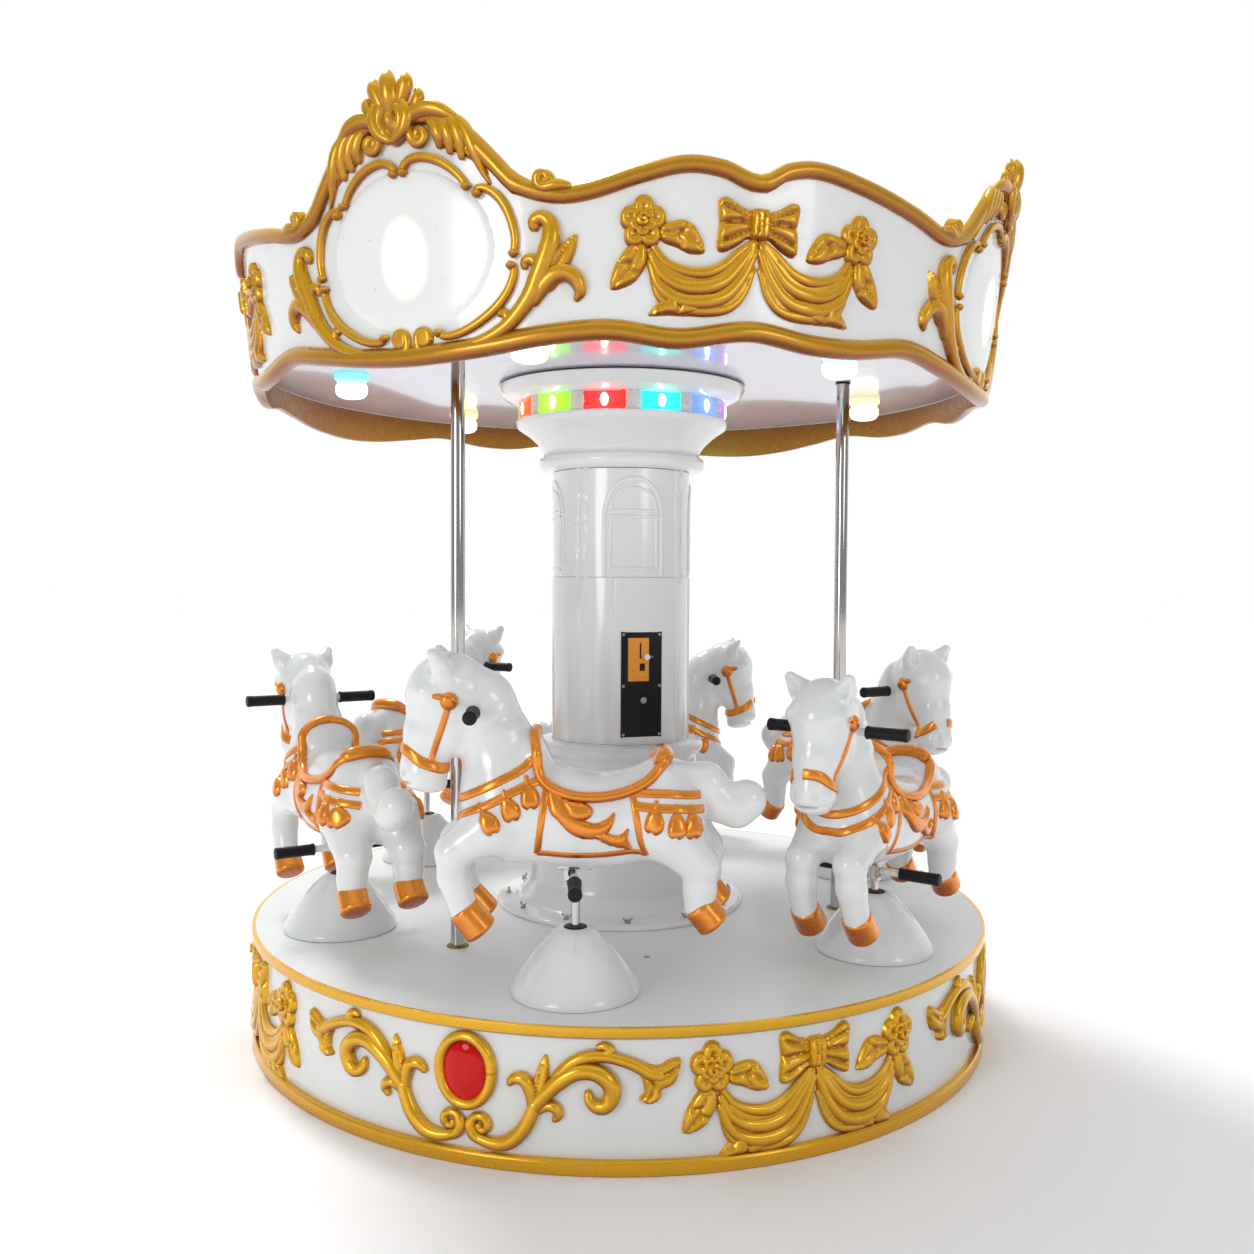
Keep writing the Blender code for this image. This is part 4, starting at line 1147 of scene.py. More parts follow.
def low_rail_section(angle):
    low = edge_height(LOW_EDGE, angle)
    r = canopy_radius(low)
    inner = DECK_TOP + 1.582
    outline = [(-11.5, 3), (-8, 0), (6, 0), (16, 5), (22, 14), (22.5, 25), (18, 36), (10, 43), (3, 47), (-2, 47)]
    points = [(r + a * MM, low + b * MM) for a, b in outline]
    return [(canopy_radius(inner) - WALL_THICK - 1.2 * MM, inner)] + points + [(canopy_radius(inner) - WALL_THICK + 2 * MM,
                                                                          inner)]


def add_canopy():
    wall = piece("canopy_wall", *round_the_wall(wall_section), Finishes.get("white"), "turntable")
    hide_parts(*[f"canopy_panel_{k + 1}" for k in range(REPEATS)])
    for name, section in (("top", top_rail_section), ("low", low_rail_section)):
        rail = piece(f"canopy_{name}_rail", *round_the_wall(section), Finishes.get("gold"), "turntable")


def add_crests():
    half = [*frame_shapes(), *acanthus_shapes(), *crest_top_shapes(), *shoulder_shapes()]
    crest = join_shapes([raised(s) for s in both_sides(half) + crest_middle_shapes()])
    verts, faces = join_shapes(swag_shapes())
    swag = [(u, v + CANOPY_SWAG_KNOT * MM + DECK_TOP, h) for u, v, h in verts], faces
    glass = leaf([(u, v + LAMP_GLASS_LEVEL) for u, v in oval(225, 178, 24)], 5, 60, cell=10)
    screws = join_shapes([raised(leaf([(x + u, y + v + LAMP_GLASS_LEVEL) for u, v in oval(3.6, 3.6, 8)], 2.0, 2.5,
                                      base=4.6, cell=3)) for x, y in ((-98, 36), (88, 43), (92, -68), (-93, -73))])
    for name, shape, finish, slot, phase in (
            ("crest_relief", crest, "gold", "gold_paint", CREST_PHASE),
            ("canopy_swag", swag, "gold", "gold_paint", CREST_PHASE + CANOPY_SWAG_OFFSET),
            ("crest_lamp_screws", screws, "screw", "chrome", CREST_PHASE)):
        repeated(name, shape, finish, "turntable", phase, canopy_radius)
    lamp = raised(glass)
    for made in repeated("crest_lamp", lamp, "opal", "turntable", CREST_PHASE, canopy_radius):
        set_glow(made, lamp, (-0.005, DECK_TOP + 1.712), (0.075, 0.105))


def add_ceiling():
    low, high = DECK_TOP + 1.585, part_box("ceiling")[1].z
    radius = canopy_radius(low) - WALL_THICK - 2 * MM
    disc = turned([(0, high), (radius, high), (radius, low), (0, low)], 144)
    # the ceiling finish is white gelcoat with painted shade and painted coloured light
    made = piece("ceiling_panel", *disc, Finishes.get("ceiling"), "turntable")
    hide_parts("ceiling")
    dome = turned(rounded_profile([(0, 2 * MM), (0.050, 2 * MM), (0.050, -0.014), (0.042, -0.018), (0.042, -0.028),
                                   (0.046, -0.032), (0.046, -0.052), (0.038, -0.063), (0.026, -0.0675), (0, -0.0675)],
                                  4 * MM, 4), 40)
    glows = [light_emitter(f"{tag}_lamp_glow", dim, lit, setting("light").lamp, 0.3)
             for tag, dim, lit in (("warm", "#FFDCA0", "#FFF8E4"), ("cool", "#60D8E0", "#F0FFFF"))]
    for k in range(6):
        place = Matrix.Translation(polar(0.814, -16 + 60 * k, low))
        made = piece(f"ceiling_lamp_{k + 1}", *moved(dome, place), glows[k % 2], "turntable")
        made.data.attributes.new("glow", "FLOAT", "POINT").data.foreach_set("value", [
            0.25 if v.z > -0.017 else 0.55 if v.z > -0.030 else 1.0 for v in dome[0]])


# Pedestals and mounts


def add_pedestals():
    h = 0.156
    profile = rounded_profile([(14 * MM, h), (36 * MM, h), (50 * MM, h - 7 * MM), (0.086, h - 0.043), (0.120, h - 0.086),
                               (0.149, 0.028), (0.157, 12 * MM), (0.157, 1 * MM), (0.151, 1 * MM), (0.140, 0.024),
                               (0.104, 0.062), (0.040, h - 16 * MM), (14 * MM, h - 16 * MM)], 16 * MM, 5)
    cone = turned(profile, 72, closed=True)
    gland = turned(rounded_profile([(11.2 * MM, h + 3 * MM), (25 * MM, h + 3 * MM), (30 * MM, h - 1 * MM),
                                    (11.2 * MM, h - 1 * MM)], 1.5 * MM, 3), 32, closed=True)
    screws = []
    for k in range(6):
        tilt = Matrix.Rotation(math.radians(60 * k + 25), 4, "Z") @ Matrix.Translation((0, -0.1505, 0.020)) \
            @ Matrix.Rotation(math.radians(72), 4, "X")
        screws.append(moved(screw_shape(3.5 * MM, 2 * MM), tilt))
    for k in range(HORSE_COUNT):
        angle = HORSE_PHASE + 60 * k
        place = Matrix.Translation(polar(HORSE_CIRCLE, angle, DECK_TOP)) @ Matrix.Rotation(math.radians(angle), 4, "Z")
        made = piece(f"pedestal_cone_{k + 1}", *moved(cone, place), Finishes.get("white"), "turntable")
        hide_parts(f"pedestal_{k + 1}")
        made = piece(f"pedestal_gland_{k + 1}", *moved(gland, place), Finishes.get("rubber"), "turntable")
        made = piece(f"pedestal_screws_{k + 1}", *moved(join_shapes(screws), place), Finishes.get("screw"), "turntable")


def add_mounts():
    rod = turned([(0, 0.262), (10.5 * MM, 0.262), (10.5 * MM, 0.060), (0, 0.060)], 32)
    sleeve = turned(rounded_profile([(10 * MM, 0.264), (14.5 * MM, 0.264), (14.5 * MM, 0.216), (10 * MM, 0.216)], 1 * MM, 2),
                    32, closed=True)
    plate = moved(flat_plate(0.090, 0.060, 10 * MM, 2 * MM), Matrix.Translation((0, 0, 0.272))
                  @ Matrix.Rotation(math.radians(90), 4, "X") @ Matrix.Rotation(math.radians(180), 4, "Y"))
    bolts = [moved(screw_shape(6 * MM, 4 * MM), Matrix.Translation((x, y, 0.262)) @ Matrix.Rotation(math.pi, 4, "X"))
             for x in (-0.034, 0.034) for y in (-0.020, 0.020)]
    cheeks = []
    for side in (1, -1):
        cheeks.append(moved(flat_plate(0.028, 0.050, 4 * MM, 1 * MM, 0.014, 0.240), Matrix.Translation((0, side * 0.019, 0))))
        for x, z in ((0.006, 0.228), (0.021, 0.228)):
            turn = Matrix.Rotation(math.radians(-90 * side), 4, "X")
            cheeks.append(moved(screw_shape(4.5 * MM, 3 * MM), Matrix.Translation((x, side * 0.021, z)) @ turn))
    steel = join_shapes([rod, plate, *bolts, *cheeks])
    for k in range(HORSE_COUNT):
        ride, place = f"horse_ride_{k + 1}", horse_place(k)
        made = piece(f"mount_steel_{k + 1}", *steel, Finishes.get("chrome"), ride, place=place)
        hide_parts(f"horse_mount_{k + 1}")
        made = piece(f"mount_sleeve_{k + 1}", *sleeve, Finishes.get("white"), ride, place=place)
        bar_with_grips(ride, None, 0.004, 0.240, 0.185, f"foot_peg_{k + 1}", place)


# The horse, over its rod and facing +X; heights above the deck at mid-stroke

NECK = [(0.150, 0, 0.455, 0.100), (0.188, 0, 0.560, 0.087), (0.226, 0, 0.655, 0.080), (0.290, 0, 0.694, 0.078)]
FACE = [(0.335, 0, 0.665, 0.064), (0.352, 0, 0.590, 0.056), (0.366, 0, 0.520, 0.050)]
TAIL = [(-0.255, 0, 0.470, 0.046), (-0.312, 0, 0.462, 0.050), (-0.350, 0, 0.418, 0.050), (-0.388, 0, 0.404, 0.049),
        (-0.411, 0, 0.421, 0.050)]
FRONT_LEG = [(0.205, 0.058, 0.372, 0.062), (0.288, 0.066, 0.316, 0.041), (0.286, 0.070, 0.255, 0.037),
             (0.262, 0.072, 0.180, 0.034)]
HIND_LEG = [(-0.225, 0.062, 0.350, 0.070), (-0.292, 0.068, 0.278, 0.046), (-0.292, 0.072, 0.220, 0.038),
            (-0.290, 0.072, 0.184, 0.036)]
FAR_HIND_SHIFT = (-0.030, 0.0, 0.012)
FRONT_HOOF = ((0.262, 0.072, 0.180, 0.034), (0.222, 0.073, 0.131, 0.040))
HIND_HOOF = ((-0.290, 0.072, 0.184, 0.036), (-0.325, 0.073, 0.142, 0.040))


def across(chain, shift=(0, 0, 0)):
    """A limb's chain on the other side of the horse."""
    return [(x + shift[0], -y + shift[1], z + shift[2], r) for x, y, z, r in chain]


def horse_field(p):
    """Signed distance to the white body."""
    x, y, z = p[..., 0], p[..., 1], p[..., 2]
    d = ball(p, (-0.028, 0, 0.387), (0.240, 0.113, 0.126))
    d = melt(d, ball(p, (0.165, 0, 0.408), (0.108, 0.104, 0.132)), 0.05)
    d = melt(d, ball(p, (-0.205, 0, 0.402), (0.106, 0.116, 0.106)), 0.05)
    d = melt(d, limb(p, NECK, 0.80), 0.06)
    head = melt(ball(p, (0.312, 0, 0.694), (0.084, 0.076, 0.080)), limb(p, FACE, 0.95), 0.04)
    head = melt(head, ball(p, (0.360, 0, 0.490), (0.056, 0.056, 0.043), 8), 0.025)
    head = melt(head, ball(p, (0.292, 0, 0.612), (0.056, 0.064, 0.084), -12), 0.03)
    head = melt(head, ball(p, (0.338, 0, 0.462), (0.030, 0.034, 0.018)), 0.016)
    d = melt(d, head, 0.022)
    for side in (1, -1):
        ear = limb(p, [(0.306, side * 0.046, 0.722, 0.030), (0.320, side * 0.064, 0.750, 0.026),
                       (0.334, side * 0.080, 0.776, 0.016)])
        cup = limb(p, [(0.340, side * 0.066, 0.742, 0.012), (0.352, side * 0.084, 0.774, 0.008)])
        d = melt(d, carve(ear, cup, 0.008), 0.016)
        brow = ball(p, (0.352, side * 0.062, 0.690), (0.022, 0.016, 0.014))
        d = melt(d, brow, 0.022)
        nostril = ball(p, (0.408, side * 0.030, 0.500), (0.010, 0.008, 0.012))
        d = carve(d, nostril, 0.010)
    d = carve(d, ball(p, (0.402, 0, 0.470), (0.034, 0.07, 0.0022), 8), 0.010)
    for chain in (FRONT_LEG, across(FRONT_LEG)):
        d = melt(d, limb(p, chain), 0.030)
    for chain in (HIND_LEG, across(HIND_LEG, FAR_HIND_SHIFT)):
        d = melt(d, limb(p, chain), 0.035)
    tail = limb(p, TAIL, 0.92)
    d = melt(d, tail, 0.014)
    d = melt(d, ball(p, (0.098, 0, 0.543), (0.030, 0.078, 0.040)), 0.03)
    d = melt(d, ball(p, (-0.205, 0, 0.490), (0.040, 0.078, 0.038)), 0.03)
    d = carve(d, ball(p, (-0.058, 0, 0.636), (0.126, 0.24, 0.150)), 0.03)
    # strands of the mane, combed back from the crest
    crest = np.clip((z - 0.56) / 0.05, 0, 1) * np.clip((0.30 - x) / 0.05, 0, 1) * np.clip((x - 0.08) / 0.03, 0, 1)
    around = np.arctan2(z - 0.60, x - 0.30)
    radius = np.hypot(z - 0.60, x - 0.30)
    strands = np.sin(around * 15 + radius * 30)
    sides = np.clip((radius - 0.070) / 0.04, 0, 1) * np.clip((np.abs(y) - 0.012) / 0.020, 0, 1)
    d = d - 0.0015 * strands * crest * sides
    return d


def horse_body_shape():
    return skin(horse_field, (-0.475, -0.135, 0.140), (0.435, 0.135, 0.812), setting("size").skin_cell)


def hoof_shape(top, sole):
    """Gold hoof: a cone that flares to a flat sole, its upper edge rounded over the leg."""
    a, b = Vector(top[:3]), Vector(sole[:3])
    along = (b - a).normalized()
    length = (b - a).length
    profile = [(0, -0.010), (top[3] * 0.80, -0.010), (top[3] + 3 * MM, -0.004), (top[3] + 5 * MM, 0.005),
               (sole[3] + 1 * MM, length - 0.014), (sole[3] + 2 * MM, length), (sole[3] * 0.80, length + 0.007),
               (0, length + 0.009)]
    shape = turned(rounded_profile(profile, 7 * MM, 4), 32)
    turn = along.to_track_quat("Z", "Y").to_matrix().to_4x4()
    return moved(shape, Matrix.Translation(a) @ turn)


def horse_hooves():
    shapes = []
    for (top, sole), shift in ((FRONT_HOOF, (0, 0, 0)), (HIND_HOOF, FAR_HIND_SHIFT)):
        shapes.append(hoof_shape(top, sole))
        shapes.append(hoof_shape(*across([top, sole], shift)))
    return shapes


class Hide:
    """The body's surface, on which straps and pads are laid."""

    def __init__(self, shape):
        verts, faces = shape
        self.tree = BVHTree.FromPolygons([Vector(v) for v in verts], [tuple(f) for f in faces])

    def nearest(self, point):
        place, normal, _, _ = self.tree.find_nearest(Vector(point))
        return place, normal

    def from_side(self, x, z, side):
        """Where a line from the side meets the body."""
        place, normal, _, _ = self.tree.ray_cast(Vector((x, side * 0.4, z)), Vector((0, -side, 0)))
        if place is None:
            place, normal = self.nearest((x, side * 0.08, z))
        return place, normal

    def strap(self, path, half_width, height, steps=6, closed=False, taper=False):
        """A raised band along a path laid on the body."""
        line = smooth_path(path, steps, closed)
        places, normals = zip(*[self.nearest(p) for p in line])
        p = np.array([tuple(v) for v in places])
        n = np.array([tuple(v) for v in normals])
        for _ in range(3):
            q, m = p.copy(), n.copy()
            p[1:-1] = (q[:-2] + 2 * q[1:-1] + q[2:]) / 4
            n[1:-1] = (m[:-2] + 2 * m[1:-1] + m[2:]) / 4
        p = np.array([tuple(self.nearest(q)[0]) for q in p])
        n /= np.linalg.norm(n, axis=1)[:, None]
        tangent = np.gradient(p, axis=0)
        if closed:
            tangent[0] = tangent[-1] = p[1] - p[-2]
        side = np.cross(tangent, n)
        side /= np.linalg.norm(side, axis=1)[:, None] + 1e-12
        section = [(-1, -1.2), (-1, 0.25), (-0.86, 0.72), (-0.55, 0.95), (0, 1.0), (0.55, 0.95), (0.86, 0.72),
                   (1, 0.25), (1, -1.2)]
        rings = []
        for k in range(len(p)):
            w = half_width
            if taper:
                w *= 0.35 + 0.65 * math.sin(math.pi * (0.08 + 0.84 * k / (len(p) - 1)))
            rings.append([p[k] + side[k] * w * u + n[k] * height * h for u, h in section])
        return loft(rings, closed_path=closed)

    def pad(self, outline, side, height, edge=0.010, cell=0.006, crease=None):
        """A pillowed shape on the flank, from an outline of (x, z) points."""
        flat, faces, lift = pillow(outline, height, edge, cell, crease)
        top, bottom = [], []
        for (x, z), h in zip(flat, lift):
            place, normal = self.from_side(x, z, side)
            top.append(place + normal * (h if h > 0 else -1.0 * MM))
            bottom.append(place - normal * 2.0 * MM)
        faces = [f if side < 0 else tuple(reversed(f)) for f in faces]
        return top, faces


def pillow(outline, height, edge, cell, crease=None, steps=5):
    """Triangles inside a smooth closed outline, with a rounded lift that falls to nothing at its edge."""
    rim = smooth_path(outline, steps, closed=True)
    low, high = rim.min(0), rim.max(0)
    gx, gz = np.meshgrid(np.arange(low[0], high[0], cell), np.arange(low[1], high[1], cell * 0.87))
    gx[::2] += cell / 2
    inner = np.stack([gx.ravel(), gz.ravel()], -1)
    ends = np.roll(rim, -1, 0)

    def rim_distance(q):
        d = ends - rim
        t = np.clip(((q[:, None] - rim) * d).sum(-1) / ((d * d).sum(-1) + 1e-12), 0, 1)
        return np.linalg.norm(q[:, None] - rim - t[..., None] * d, axis=-1).min(1)

    inner = inner[rim_distance(inner) > cell * 0.45]
    points = [Vector(q) for q in np.vstack([rim, inner])]
    edges = [(i, (i + 1) % len(rim)) for i in range(len(rim))]
    verts, _, faces, _, _, _ = delaunay_2d_cdt(points, edges, [], 1, 1e-7)
    flat = np.array([tuple(v) for v in verts])
    far = rim_distance(flat)
    share = np.clip(far / edge, 0, 1)
    lift = height * np.sqrt(np.clip(1 - (1 - share) ** 2, 0, 1))
    if crease is not None:
        line = smooth_path(crease, 6)
        near = np.linalg.norm(flat[:, None] - line, axis=-1).min(1)
        lift *= 1 - 0.45 * np.exp(-((near / (edge * 0.35)) ** 2))
    lift[far < 1e-6] = 0
    return flat, [tuple(f) for f in faces], lift


SADDLE_RIM = [(0.100, 0.0, 0.586), (0.099, 0.040, 0.579), (0.095, 0.072, 0.557), (0.085, 0.096, 0.522),
              (0.062, 0.112, 0.487), (0.022, 0.118, 0.463), (-0.035, 0.120, 0.455), (-0.092, 0.118, 0.463),
              (-0.140, 0.108, 0.486), (-0.178, 0.088, 0.508), (-0.204, 0.062, 0.522), (-0.214, 0.030, 0.529),
              (-0.216, 0.0, 0.531)]
BREAST_STRIPES = [
    [(0.104, 0.105, 0.530), (0.150, 0.105, 0.503), (0.205, 0.098, 0.474), (0.250, 0.070, 0.450),
     (0.275, 0.035, 0.437), (0.285, 0.0, 0.433)],
    [(0.084, 0.110, 0.496), (0.140, 0.110, 0.466), (0.205, 0.102, 0.430), (0.250, 0.076, 0.407),
     (0.280, 0.038, 0.393), (0.290, 0.0, 0.388)],
]
CROUP_STRIPES = [
    [(-0.134, 0.110, 0.468), (-0.190, 0.110, 0.460), (-0.255, 0.090, 0.450), (-0.292, 0.050, 0.444)],
    [(-0.134, 0.112, 0.430), (-0.190, 0.112, 0.422), (-0.255, 0.094, 0.414), (-0.296, 0.050, 0.410)],
]
BLANKET = [(0.070, 0.487), (0.092, 0.314), (-0.164, 0.312), (-0.126, 0.468)]
BREAST_TASSELS = [(0.201, 0.392, -32), (0.153, 0.421, -22), (0.108, 0.449, -12)]
CROUP_TASSELS = [(-0.180, 0.392, 6), (-0.232, 0.383, 0), (-0.272, 0.380, -8)]
RIBBON = [
    [(0.072, 0.474), (0.069, 0.440), (0.062, 0.412), (0.044, 0.394), (0.020, 0.368), (-0.008, 0.353), (-0.038, 0.350),
     (-0.068, 0.360), (-0.085, 0.386), (-0.091, 0.420), (-0.072, 0.402), (-0.046, 0.391), (-0.020, 0.396),
     (0.000, 0.408), (0.016, 0.426), (0.034, 0.456)],
    [(-0.032, 0.362), (-0.061, 0.341), (-0.094, 0.329), (-0.129, 0.324), (-0.120, 0.349), (-0.121, 0.378),
     (-0.101, 0.362), (-0.080, 0.364), (-0.055, 0.376)],
    [(0.040, 0.448), (0.008, 0.440), (-0.020, 0.436), (-0.038, 0.422), (-0.034, 0.404), (-0.015, 0.394),
     (0.008, 0.396), (0.024, 0.412)],
]

def tassel_outline(x, z, lean, size=1.0):
    """Tulip shape that hangs from a stripe, turned by degrees."""
    flat = [(0.0, 0.024), (0.010, 0.018), (0.016, 0.004), (0.017, -0.012), (0.010, -0.021), (0.003, -0.019),
            (-0.004, -0.023), (-0.014, -0.015), (-0.017, 0.0), (-0.010, 0.016)]
    c, s = math.cos(math.radians(lean)), math.sin(math.radians(lean))
    return [(x + size * (u * c - v * s), z + size * (u * s + v * c)) for u, v in flat]


def horse_gold_shapes(body):
    """Everything painted amber on the horse: saddle rim, blanket border and ribbon, stripes, tassels, bridle."""
    hide = Hide(body)
    rim = smooth_path(mirrored(SADDLE_RIM), 6, closed=False)
    laid = []
    for p in rim:
        place, normal = hide.nearest(p)
        laid.append(place + normal * 3 * MM)
    laid = np.array([tuple(v) for v in laid])
    for _ in range(4):
        q = laid.copy()
        laid[1:-1] = (q[:-2] + 2 * q[1:-1] + q[2:]) / 4
    shapes = [tube(np.vstack([laid, laid[:1]]), 13 * MM, 16)]
    cantle = smooth_path([(-0.196, 0.060, 0.520), (-0.208, 0.040, 0.530), (-0.212, 0.0, 0.533),
                          (-0.208, -0.040, 0.530), (-0.196, -0.060, 0.520)], 6)
    radii = 0.013 + 0.010 * np.sin(np.linspace(0.15, math.pi - 0.15, len(cantle))) ** 0.5
    shapes.append(tube(cantle, radii, 18))
    for path in BREAST_STRIPES:
        shapes.append(hide.strap(mirrored(path), 10.5 * MM, 4.5 * MM))
    for path in CROUP_STRIPES:
        for side in (1, -1):
            shapes.append(hide.strap([(x, side * y, z) for x, y, z in path], 10.5 * MM, 4.5 * MM))
    for side in (1, -1):
        corners = [hide.from_side(x, z, side)[0] for x, z in BLANKET]
        for a, b in zip(corners, corners[1:]):
            line = [a.lerp(b, t) for t in np.linspace(0, 1, 9)]
            shapes.append(hide.strap(line, 8 * MM, 4 * MM, 2))
        for x, z, lean in BREAST_TASSELS + CROUP_TASSELS:
            shapes.append(hide.pad(tassel_outline(x, z, lean, 1.35), side, 11 * MM, 14 * MM))
            stem = [hide.from_side(x - t * math.sin(math.radians(lean)), z + t * math.cos(math.radians(lean)), side)[0]
                    for t in (0.018, 0.028, 0.038, 0.048)]
            shapes.append(hide.strap(stem, 5 * MM, 5 * MM, 2))
        for k, outline in enumerate(RIBBON):
            shapes.append(hide.pad(outline, side, (11 + 2 * k) * MM, 16 * MM))
        shapes.extend(bridle_shapes(hide, side))
    band = [(0.412, 0.0, 0.552), (0.402, 0.040, 0.548), (0.366, 0.058, 0.526), (0.318, 0.050, 0.511),
            (0.300, 0.024, 0.506)]
    shapes.append(hide.strap(mirrored(band), 13 * MM, 5 * MM))
    shapes.extend(horse_hooves())
    return shapes


def bridle_shapes(hide, side):
    """Rosette, its short brow strap, and the cheek strap down to the noseband."""
    place, normal = hide.from_side(0.296, 0.668, side)
    knob = turned(rounded_profile([(0, 0.014), (0.012, 0.013), (0.021, 0.006), (0.022, -0.008), (0, -0.008)],
                                  4 * MM, 3), 24)
    turn = normal.to_track_quat("Z", "Y").to_matrix().to_4x4()
    shapes = [moved(knob, Matrix.Translation(place) @ turn)]
    brow = [hide.from_side(x, z, side)[0] for x, z in ((0.300, 0.672), (0.316, 0.679), (0.334, 0.681))]
    shapes.append(hide.strap(brow, 8 * MM, 6 * MM, 4, taper=True))
    cheek = [hide.from_side(x, z, side)[0] for x, z in ((0.298, 0.655), (0.312, 0.610), (0.328, 0.565),
                                                        (0.339, 0.524))]
    shapes.append(hide.strap(cheek, 7.5 * MM, 4.5 * MM, 5))
    return shapes


def ring_grip(length, radius):
    """Rubber hand grip along X from 0: collar, ribs and a rounded end."""
    profile = [(0, 0), (radius * 1.08, 0), (radius * 1.10, 3 * MM), (radius, 5 * MM)]
    ribs = 9
    for k in range(ribs):
        at = 0.012 + (length - 0.030) * k / ribs
        profile += [(radius, at), (radius * 0.955, at + 2.0 * MM), (radius * 0.955, at + 4 * MM),
                    (radius, at + 6 * MM)]
    profile += [(radius, length - 0.012), (radius * 1.05, length - 0.009), (radius * 1.04, length - 0.003),
                (radius * 0.85, length), (0, length)]
    return moved(turned(rounded_profile(profile, 1.5 * MM, 2), 24), Matrix.Rotation(math.radians(90), 4, "Y"))


def bar_with_grips(body_name, node_name, x, z, half_span, tag, place):
    """Straight bar across the horse with a rubber grip at each end."""
    length, radius = 0.110, 16 * MM
    bar = tube([(x, -half_span + 0.02, z), (x, 0, z), (x, half_span - 0.02, z)], 10 * MM, 16)
    made = piece(f"{tag}_bar", *bar, Finishes.get("white"), body_name, place=place)
    if node_name:
        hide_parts(node_name)
    grips = []
    for side in (1, -1):
        turn = Matrix.Translation((x, side * (half_span - length), z)) @ Matrix.Rotation(
            math.radians(90 * side), 4, "Z")
        grips.append(moved(ring_grip(length, radius), turn))
    grip = piece(f"{tag}_grips", *join_shapes(grips), Finishes.get("rubber"), body_name, place=place)


def horse_place(index):
    """Where a horse's own frame lies, over its pedestal and at its height on the rod."""
    angle = HORSE_PHASE + index * 360 / HORSE_COUNT
    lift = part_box(f"horse_mount_{index + 1}")[0].z - MOUNT_LOW
    return (Matrix.Translation(polar(HORSE_CIRCLE, angle, lift))
            @ Matrix.Rotation(math.radians(angle + 180 + HORSE_TURN[index]), 4, "Z"))


MOUNT_LOW = 0.060


def add_horses():
    body = horse_body_shape()
    gold = join_shapes(horse_gold_shapes(body))
    body_mesh = bpy.data.meshes.new("horse_body")
    body_mesh.from_pydata([tuple(v) for v in body[0]], [], body[1])
    gold_mesh = bpy.data.meshes.new("horse_gold")
    gold_mesh.from_pydata([tuple(v) for v in gold[0]], [], gold[1])
    for i in range(HORSE_COUNT):
        place = horse_place(i)
        ride = f"horse_ride_{i + 1}"
        white = piece_of(f"horse_body_{i + 1}", body_mesh.copy(), Finishes.get("white"), ride, place=place)
        white.modifiers.new("Soften", "SMOOTH").iterations = 2
        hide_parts(f"horse_{i + 1}")
        amber = piece_of(f"horse_gold_{i + 1}", gold_mesh.copy(), Finishes.get("amber"), ride, place=place)
        bar_with_grips(ride, f"handlebar_{i + 1}", 0.240, 0.642, 0.194, f"handlebar_{i + 1}", place)


# Stage

LENS_MM = 33.9
SENSOR_MM = 36.0
CAMERA_DISTANCE = 3.675
CAMERA_HEIGHT = DECK_TOP + 0.9874
CAMERA_YAW = -0.0053
CAMERA_PITCH = -0.0384
CAMERA_ROLL = -0.0056


def add_camera():
    data = bpy.data.cameras.new("camera")
    data.lens, data.sensor_width = LENS_MM, SENSOR_MM
    made = bpy.data.objects.new("camera", data)
    bpy.context.scene.collection.objects.link(made)
    turn = (Matrix.Rotation(CAMERA_YAW, 4, "Z") @ Matrix.Rotation(CAMERA_PITCH, 4, "X")
            @ Matrix.Rotation(CAMERA_ROLL, 4, "Y") @ Matrix.Rotation(math.radians(90), 4, "X"))
    made.matrix_world = Matrix.Translation((0, -CAMERA_DISTANCE, CAMERA_HEIGHT)) @ turn
    data.clip_start, data.clip_end = 0.05, 60
    bpy.context.scene.camera = made


def add_area_light(name, place, target, size, power, colour="#FFFFFF"):
    data = bpy.data.lights.new(name, "AREA")
    data.shape, data.size, data.energy = "DISK", size, power
    data.color = linear(colour)[:3]
    made = bpy.data.objects.new(name, data)
    bpy.context.scene.collection.objects.link(made)
    made.location = place
    made.rotation_euler = (Vector(target) - Vector(place)).to_track_quat("-Z", "Y").to_euler()


def studio_world(scene):
    """Even studio light: white behind the subject and above it, greyer behind the camera."""
    scene.world = scene.world or bpy.data.worlds.new("studio")
    scene.world.use_nodes = True
    tree = scene.world.node_tree
    way = node(tree, "ShaderNodeSeparateXYZ", {0: node(tree, "ShaderNodeTexCoord").outputs["Generated"]})
    power = setting("light").world
    behind = node(tree, "ShaderNodeMapRange", {"Value": way.outputs["Y"], "From Min": 0.0, "From Max": 0.6,
                                               "To Min": 0.36 * power, "To Max": power}, interpolation_type="SMOOTHSTEP")
    above = node(tree, "ShaderNodeMapRange", {"Value": way.outputs["Z"], "From Min": 0.35, "From Max": 0.95,
                                              "To Max": 0.85 * power}, interpolation_type="SMOOTHSTEP")
    most = node(tree, "ShaderNodeMath", {0: behind.outputs["Result"], 1: above.outputs["Result"]}, operation="MAXIMUM")
    tree.links.new(most.outputs["Value"], tree.nodes["Background"].inputs["Strength"])
    tree.nodes["Background"].inputs["Color"].default_value = linear("#FFFFFF")


